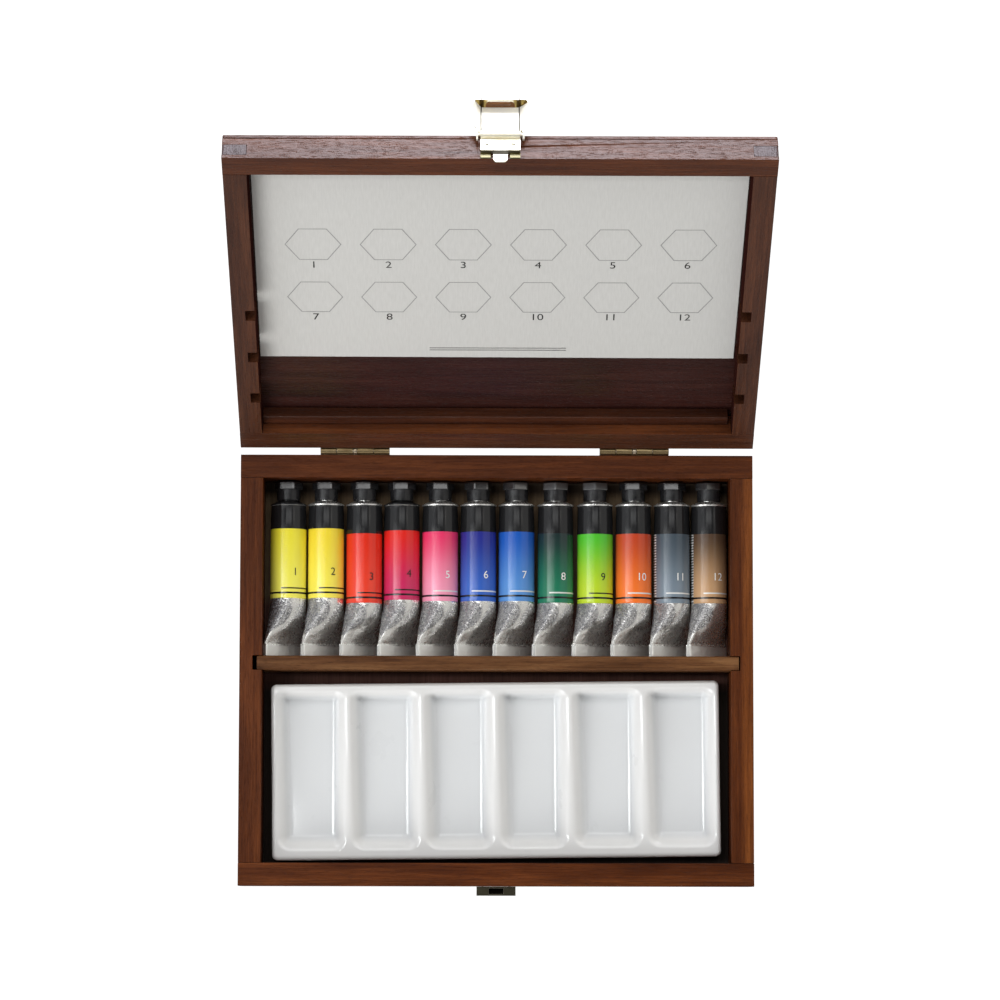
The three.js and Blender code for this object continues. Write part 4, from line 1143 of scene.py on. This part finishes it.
def tube_rings():
    """Places along a tube from the top of its cap, closer together where its form turns."""
    places = [TUBE_NECK_START, TUBE_SHOULDER_START - NECK_STEP, TUBE_SHOULDER_START]
    places += [TUBE_SHOULDER_END + step for step in SHOULDER_STEPS]
    place = TUBE_SHOULDER_END + TUBE_STEP
    while place < TUBE_FIN_START:
        places.append(place)
        place += TUBE_STEP
    places += [TUBE_FIN_START + step for step in FIN_STEPS]
    return places + [mix(TUBE_FIN_START, TUBE_LENGTH, 0.5), TUBE_LENGTH - END_STEP, TUBE_LENGTH]


def tube_radius(place):
    if place < TUBE_SHOULDER_START:
        return TUBE_NECK_RADIUS
    if place < TUBE_SHOULDER_END:
        share = (place - TUBE_SHOULDER_START) / (TUBE_SHOULDER_END - TUBE_SHOULDER_START)
        return mix(TUBE_SHOULDER_RADIUS, TUBE_RADIUS - TUBE_BEAD, math.sqrt(share))
    if place < TUBE_SHOULDER_END + TUBE_BEAD_LENGTH:
        return TUBE_RADIUS
    swell = smoothstep((place - TUBE_SHOULDER_END) / TUBE_SWELL_LENGTH)
    return TUBE_RADIUS - TUBE_BEAD - TUBE_SWELL * (1 - swell)


def tube_ring(place, seed):
    """A ring of points round a tube, from its underside; near its end it folds into a flat seam."""
    radius = tube_radius(place)
    fold = min(1.0, max(0.0, (place - TUBE_FLATTEN_START) / (TUBE_FIN_START - TUBE_FLATTEN_START)))
    eased = mix(fold, smoothstep(fold), FOLD_EASE)
    thickness = FIN_HALF_THICKNESS * (FIN_STEP if place > TUBE_FIN_START else 1)
    points = []
    for i in range(TUBE_SIDES):
        angle = 2 * math.pi * i / TUBE_SIDES - math.pi / 2 + FIN_TILT
        across = math.cos(angle)
        outward = math.sin(angle)
        seam_share = min(1.0, max(-1.0, across / FOLD_SPAN))
        seam_u = FIN_HALF_WIDTH * seam_share
        seam_side = math.copysign(thickness, outward) * min(1.0, abs(outward) / FOLD_SIDE)
        seam_v = seam_side + FIN_BOW * (1 - seam_share ** 2)
        u = mix(radius * across, seam_u, eased)
        v = mix(radius * outward, seam_v, eased)
        if fold > 0:
            dent = noise.noise(Vector((u, v, place + seed * CRUMPLE_SCALE * 3)) / CRUMPLE_SCALE)
            v += CRUMPLE_DEPTH * math.sin(math.pi * fold) * dent
        points.append(Vector((
            u * math.cos(FIN_TILT) + v * math.sin(FIN_TILT) - FIN_SHIFT * eased,
            -place,
            FIN_LIFT * eased - u * math.sin(FIN_TILT) + v * math.cos(FIN_TILT))))
    return points


def print_along(place, raised):
    """Where the print lies at a place along a tube whose label is raised towards its cap."""
    head = smoothstep((place - LABEL_START) / (BLACK_END - LABEL_START - PRINT_EASE))
    foot = smoothstep((TUBE_FIN_START - place) / (TUBE_FIN_START - TUBE_FLATTEN_START))
    return place + raised * head * foot


def print_faces(form, placed, places, raised):
    """The print's own coordinates: around the tube from its highest line, and along it."""
    layer = form.loops.layers.uv.new(PRINT_MAP)
    ring_of = {vert: row for row, ring in enumerate(placed) for vert in ring}
    step_of = {vert: i for ring in placed for i, vert in enumerate(ring)}
    around_full = 2 * math.pi * TUBE_RADIUS
    for face in form.faces:
        steps = [step_of[loop.vert] for loop in face.loops]
        wraps = max(steps) - min(steps) > TUBE_SIDES / 2
        for loop, step in zip(face.loops, steps):
            turned = step + TUBE_SIDES if wraps and step < TUBE_SIDES / 2 else step
            around = (turned / TUBE_SIDES - 0.5) * around_full
            along = print_along(places[ring_of[loop.vert]], raised)
            loop[layer].uv = (0.5 - around / PRINT_SPAN, along / PRINT_SPAN)


def make_tube(number, place, looks):
    top, foot, ink, strip, bead, raised = looks
    form = bmesh.new()
    places = tube_rings()
    placed = loft(form, [tube_ring(along, number) for along in places])
    print_faces(form, placed, places, raised)
    bmesh.ops.recalc_face_normals(form, faces=form.faces)
    bmesh.ops.translate(form, vec=place, verts=form.verts)
    tag = "%02d" % number
    material = tube_material(number, top, foot, ink, strip, bead)
    stand_in("tube_" + tag, "painted_tube_" + tag, form, [material], TUBE_SMOOTH)
    make_tube_number(number, place, ink, raised)


def figures_form(text, height):
    """Plain figures as flat faces, centred on the origin, in millimetres."""
    curve = bpy.data.curves.new("figures", "FONT")
    curve.body = text
    curve.align_x = "CENTER"
    curve.align_y = "CENTER"
    curve.size = height / FIGURE_SHARE
    holder = new_object("figures", curve)
    bpy.context.view_layer.update()
    mesh = bpy.data.meshes.new_from_object(holder)
    form = bmesh.new()
    form.from_mesh(mesh)
    bpy.data.objects.remove(holder)
    bpy.data.curves.remove(curve)
    bpy.data.meshes.remove(mesh)
    return form


def slice_upright(form, half, step):
    """Cuts flat faces into narrow upright strips so that they can follow a round surface."""
    place = -half
    while place < half:
        geometry = form.verts[:] + form.edges[:] + form.faces[:]
        bmesh.ops.bisect_plane(form, geom=geometry, plane_co=(place, 0, 0), plane_no=(1, 0, 0))
        place += step


def make_tube_number(number, place, ink, raised):
    form = figures_form(str(number), TUBE_NUMBER_HEIGHT)
    slice_upright(form, TUBE_NUMBER_HEIGHT, INK_STRIP)
    reach = TUBE_RADIUS + INK_LIFT
    for vert in form.verts:
        angle = (vert.co.x + TUBE_NUMBER_AROUND) / TUBE_RADIUS
        along = vert.co.y - TUBE_NUMBER_ALONG + raised
        vert.co = Vector((reach * math.sin(angle), along, reach * math.cos(angle)))
    bmesh.ops.translate(form, vec=place, verts=form.verts)
    tag = "%02d" % number
    finish_object("tube_number_" + tag, form, [DARK_INK if ink == BLACK_INK else LIGHT_INK],
                  "tube_body_" + tag)


DARK_INK = ink_material("dark_ink", BLACK_INK, 0.35)
LIGHT_INK = ink_material("light_ink", PALE_INK, 0.35)


# Caps


def cap_ring(radius_at, place):
    points = []
    for i in range(CAP_POINTS):
        angle = 2 * math.pi * i / CAP_POINTS
        radius = radius_at(angle)
        points.append(Vector((radius * math.sin(angle), -place, radius * math.cos(angle))))
    return points


def hexagon_radius(apothem):
    """Radius at an angle for a hexagon with eased corners, a corner straight up."""
    corner = apothem / math.cos(math.pi / CAP_SIDES) * CAP_CORNER_ROUND_SHARE

    def radius(angle):
        within = angle % (2 * math.pi / CAP_SIDES) - math.pi / CAP_SIDES
        return min(apothem / math.cos(within), corner)
    return radius


def round_radius(radius):
    return lambda angle: radius


def cap_form():
    """A hexagonal head with eased edges on a round skirt, from its top down."""
    wide = CAP_FLATS / 2
    top = wide * CAP_TAPER
    head = ((top - CAP_ROUND, 0), (top - CAP_EASE, CAP_EASE), (top, CAP_ROUND),
            (wide, CAP_HEAD - CAP_ROUND), (wide - CAP_EASE, CAP_HEAD - CAP_LOWER_EASE),
            (wide - CAP_ROUND, CAP_HEAD))
    skirt = ((CAP_SKIRT_RADIUS, CAP_HEAD + CAP_STEP), (CAP_SKIRT_RADIUS, CAP_LENGTH - CAP_ROUND),
             (CAP_SKIRT_RADIUS - CAP_FOOT_EASE, CAP_LENGTH))
    form = bmesh.new()
    loft(form, [cap_ring(hexagon_radius(apothem), place) for apothem, place in head]
         + [cap_ring(round_radius(radius), place) for radius, place in skirt])
    bmesh.ops.recalc_face_normals(form, faces=form.faces)
    return form


def cap_turn_of(node, axis):
    """How far a cap is turned, read from the highest corner of its hexagonal head."""
    corners = []
    for vert in frame["nodes"][node].data.vertices:
        arm = Vector((vert.co.x / MM - axis.x, vert.co.z / MM - axis.z))
        if vert.co.y / MM > axis.y - CAP_HEAD - CAP_ROUND and arm.length > CAP_FLATS / 2:
            corners.append(math.atan2(arm.x, arm.y))
    return min(corners, key=abs)


def make_cap(number, place):
    tag = "%02d" % number
    node = "tube_cap_" + tag
    form = cap_form()
    more = CAP_TURNED_MORE if number <= CAP_TURNED_COUNT else 0
    for face in form.faces:
        face.material_index = 1 if face.calc_center_median().y < -CAP_HEAD else 0
    turn = Matrix.Rotation(cap_turn_of(node, place) + more, 4, "Y")
    bmesh.ops.transform(form, matrix=Matrix.Translation(place) @ turn, verts=form.verts)
    stand_in(node, "screw_cap_" + tag, form, [CAP_HEAD_LIT_PLASTIC, SKIRT_SHADED_PLASTIC], CAP_SMOOTH)


# One black plastic as lit and shaded copies: the head reflects strongly for a bright facet highlight, the skirt
# weakly so it stays dark
CAP_HEAD_LIT_PLASTIC = cap_material("black_cap_head_lit", 1.0, 1.62)
SKIRT_SHADED_PLASTIC = cap_material("black_cap_skirt_shaded", 0.4, 1.5)


def make_tubes():
    for index, looks in enumerate(TUBES):
        number = index + 1
        joint = joint_named("cap_turn_%02d" % number)
        place = Vector(joint["pos_m"]) / MM
        make_tube(number, place, looks)
        make_cap(number, place)


# Colour chart


def chart_place(x, from_hinge):
    """A point on the ink's face on the lid's card, measured from the lid's hinge side."""
    return LID_OPENING @ Vector((x, HALF_LENGTH - from_hinge, LID_CARD_FACE - INK_THICKNESS))


def card_face_height():
    corners = frame["nodes"]["colour_chart_card"].data.vertices
    return min((LID_CLOSING @ (corner.co / MM)).z for corner in corners)


LID_CARD_FACE = card_face_height()


def chart_ring(form, points, line):
    """A thin outline round a closed row of points on the card, given as x and distance."""
    middle = sum((Vector(point) for point in points), Vector((0, 0))) / len(points)
    rings = []
    for out in (line / 2, -line / 2):
        arms = [Vector(point) - middle for point in points]
        rings.append([form.verts.new(chart_place(*(middle + arm + arm.normalized() * out))) for arm in arms])
    outer, inner = rings
    for i in range(len(outer)):
        j = (i + 1) % len(outer)
        form.faces.new((outer[i], outer[j], inner[j], inner[i]))


def make_chart():
    form = form_of("colour_chart_card")
    card = stand_in("colour_chart_card", "linen_colour_chart", form, [card_material()])
    round_edges(card, CARD_ROUND, 2)
    outlines = bmesh.new()
    for row, u in enumerate(CHART_ROWS):
        for column in range(CHART_COLUMNS):
            x = CHART_FIRST + column * CHART_PITCH
            points = [(x + side_x * HEXAGON_HALF_WIDTH, u + side_u * HEXAGON_HALF_HEIGHT)
                      for side_x, side_u in HEXAGON_CORNERS]
            chart_ring(outlines, points, HEXAGON_LINE)
            make_chart_number(row * CHART_COLUMNS + column + 1, x, u - CHART_NUMBER_DROP)
    finish_object("chart_hexagons", outlines, [GREY_INK], "lid")
    rules = bmesh.new()
    for u in CHART_RULES:
        corners = [(side_x * CHART_RULE_HALF_LENGTH, u + side_u * CHART_RULE_LINE / 2)
                   for side_x, side_u in SQUARE_CORNERS]
        rules.faces.new([rules.verts.new(chart_place(*corner)) for corner in corners])
    finish_object("chart_rules", rules, [DARK_INK], "lid")


def make_chart_number(number, x, u):
    form = figures_form(str(number), CHART_NUMBER_HEIGHT)
    for vert in form.verts:
        vert.co = chart_place(x + vert.co.x, u + vert.co.y)
    finish_object("chart_number_%02d" % number, form, [DARK_INK], "lid")


GREY_INK = ink_material("grey_ink", (0.24, 0.24, 0.235, 1))


# Surroundings


def make_camera():
    """The camera stands over the box, a little to its left and in front of it."""
    tilt = Matrix.Rotation(CAMERA_TILT, 4, "X")
    turn = tilt @ Matrix.Rotation(-CAMERA_PAN, 4, "Y") @ Matrix.Rotation(CAMERA_ROLL, 4, "Z")
    place = Vector(CAMERA_TARGET) + tilt @ Vector((0, 0, CAMERA_DISTANCE))
    data = bpy.data.cameras.new("camera")
    data.lens = CAMERA_LENS
    data.clip_end = CAMERA_REACH * MM
    camera = new_object("camera", data)
    camera.matrix_world = Matrix.Translation(place * MM) @ turn
    bpy.context.scene.camera = camera


def softbox(name, place, aim, width, height, radiance, tint):
    """A rectangular lamp whose brightness doesn't change with its size."""
    data = bpy.data.lights.new(name, "AREA")
    data.shape = "RECTANGLE"
    data.size = width * MM
    data.size_y = height * MM
    data.energy = radiance * math.pi * data.size * data.size_y
    data.color = tint
    lamp = new_object(name, data)
    direction = Vector(aim) - Vector(place)
    lamp.matrix_world = (Matrix.Translation(Vector(place) * MM)
                         @ direction.to_track_quat("-Z", "Y").to_matrix().to_4x4())
    lamp.visible_camera = False


def make_lights():
    for lamp in LAMPS:
        softbox(*lamp)
    bpy.context.scene.world = studio_surroundings()
    bpy.context.scene.view_settings.view_transform = "Standard"


def studio_surroundings():
    """A pale room that is dark straight overhead and warmer and dimmer at the right."""
    world = bpy.data.worlds.new("studio")
    world.use_nodes = True
    w = Wiring(world.node_tree)
    background = next(node for node in world.node_tree.nodes if node.type == "BACKGROUND")
    direction = w.node("ShaderNodeTexCoord").outputs["Generated"]
    parts = w.parts(direction)
    side = w.blend(w.spread(parts[0], -ROOM_TURN, ROOM_TURN), ROOM_LEFT, ROOM_RIGHT)
    tone = w.blend(w.spread(parts[2], ROOM_PALE_TO, ROOM_DARK_FROM), side, ROOM_DARK)
    w.feed(background.inputs["Color"], tone)
    return world


def make_floor():
    form = bmesh.new()
    reach = FLOOR_HALF * MM
    form.faces.new([form.verts.new((x * reach, y * reach, 0)) for x, y in SQUARE_CORNERS])
    mesh = bpy.data.meshes.new("floor")
    form.to_mesh(mesh)
    form.free()
    material, w, shader = new_material("white_floor", 0.9, specular=0.1)
    tone = w.noise(object_place(w), 0.01, 2.0, 0.5)
    w.feed(shader.inputs["Base Color"], w.blend(tone, *FLOOR_TONES))
    shader.inputs["Emission Color"].default_value = (1, 1, 1, 1)
    seen = w.node("ShaderNodeLightPath").outputs["Is Camera Ray"]
    w.feed(shader.inputs["Emission Strength"],
           w.spread(seen, 0.0, 1.0, FLOOR_GLOW * FLOOR_LIGHT_SHARE, FLOOR_GLOW))
    mesh.materials.append(material)
    floor = new_object("floor", mesh)


make_base()
make_lid()
make_divider()
make_brass()
make_palette()
make_tubes()
make_chart()
make_camera()
make_lights()
make_floor()
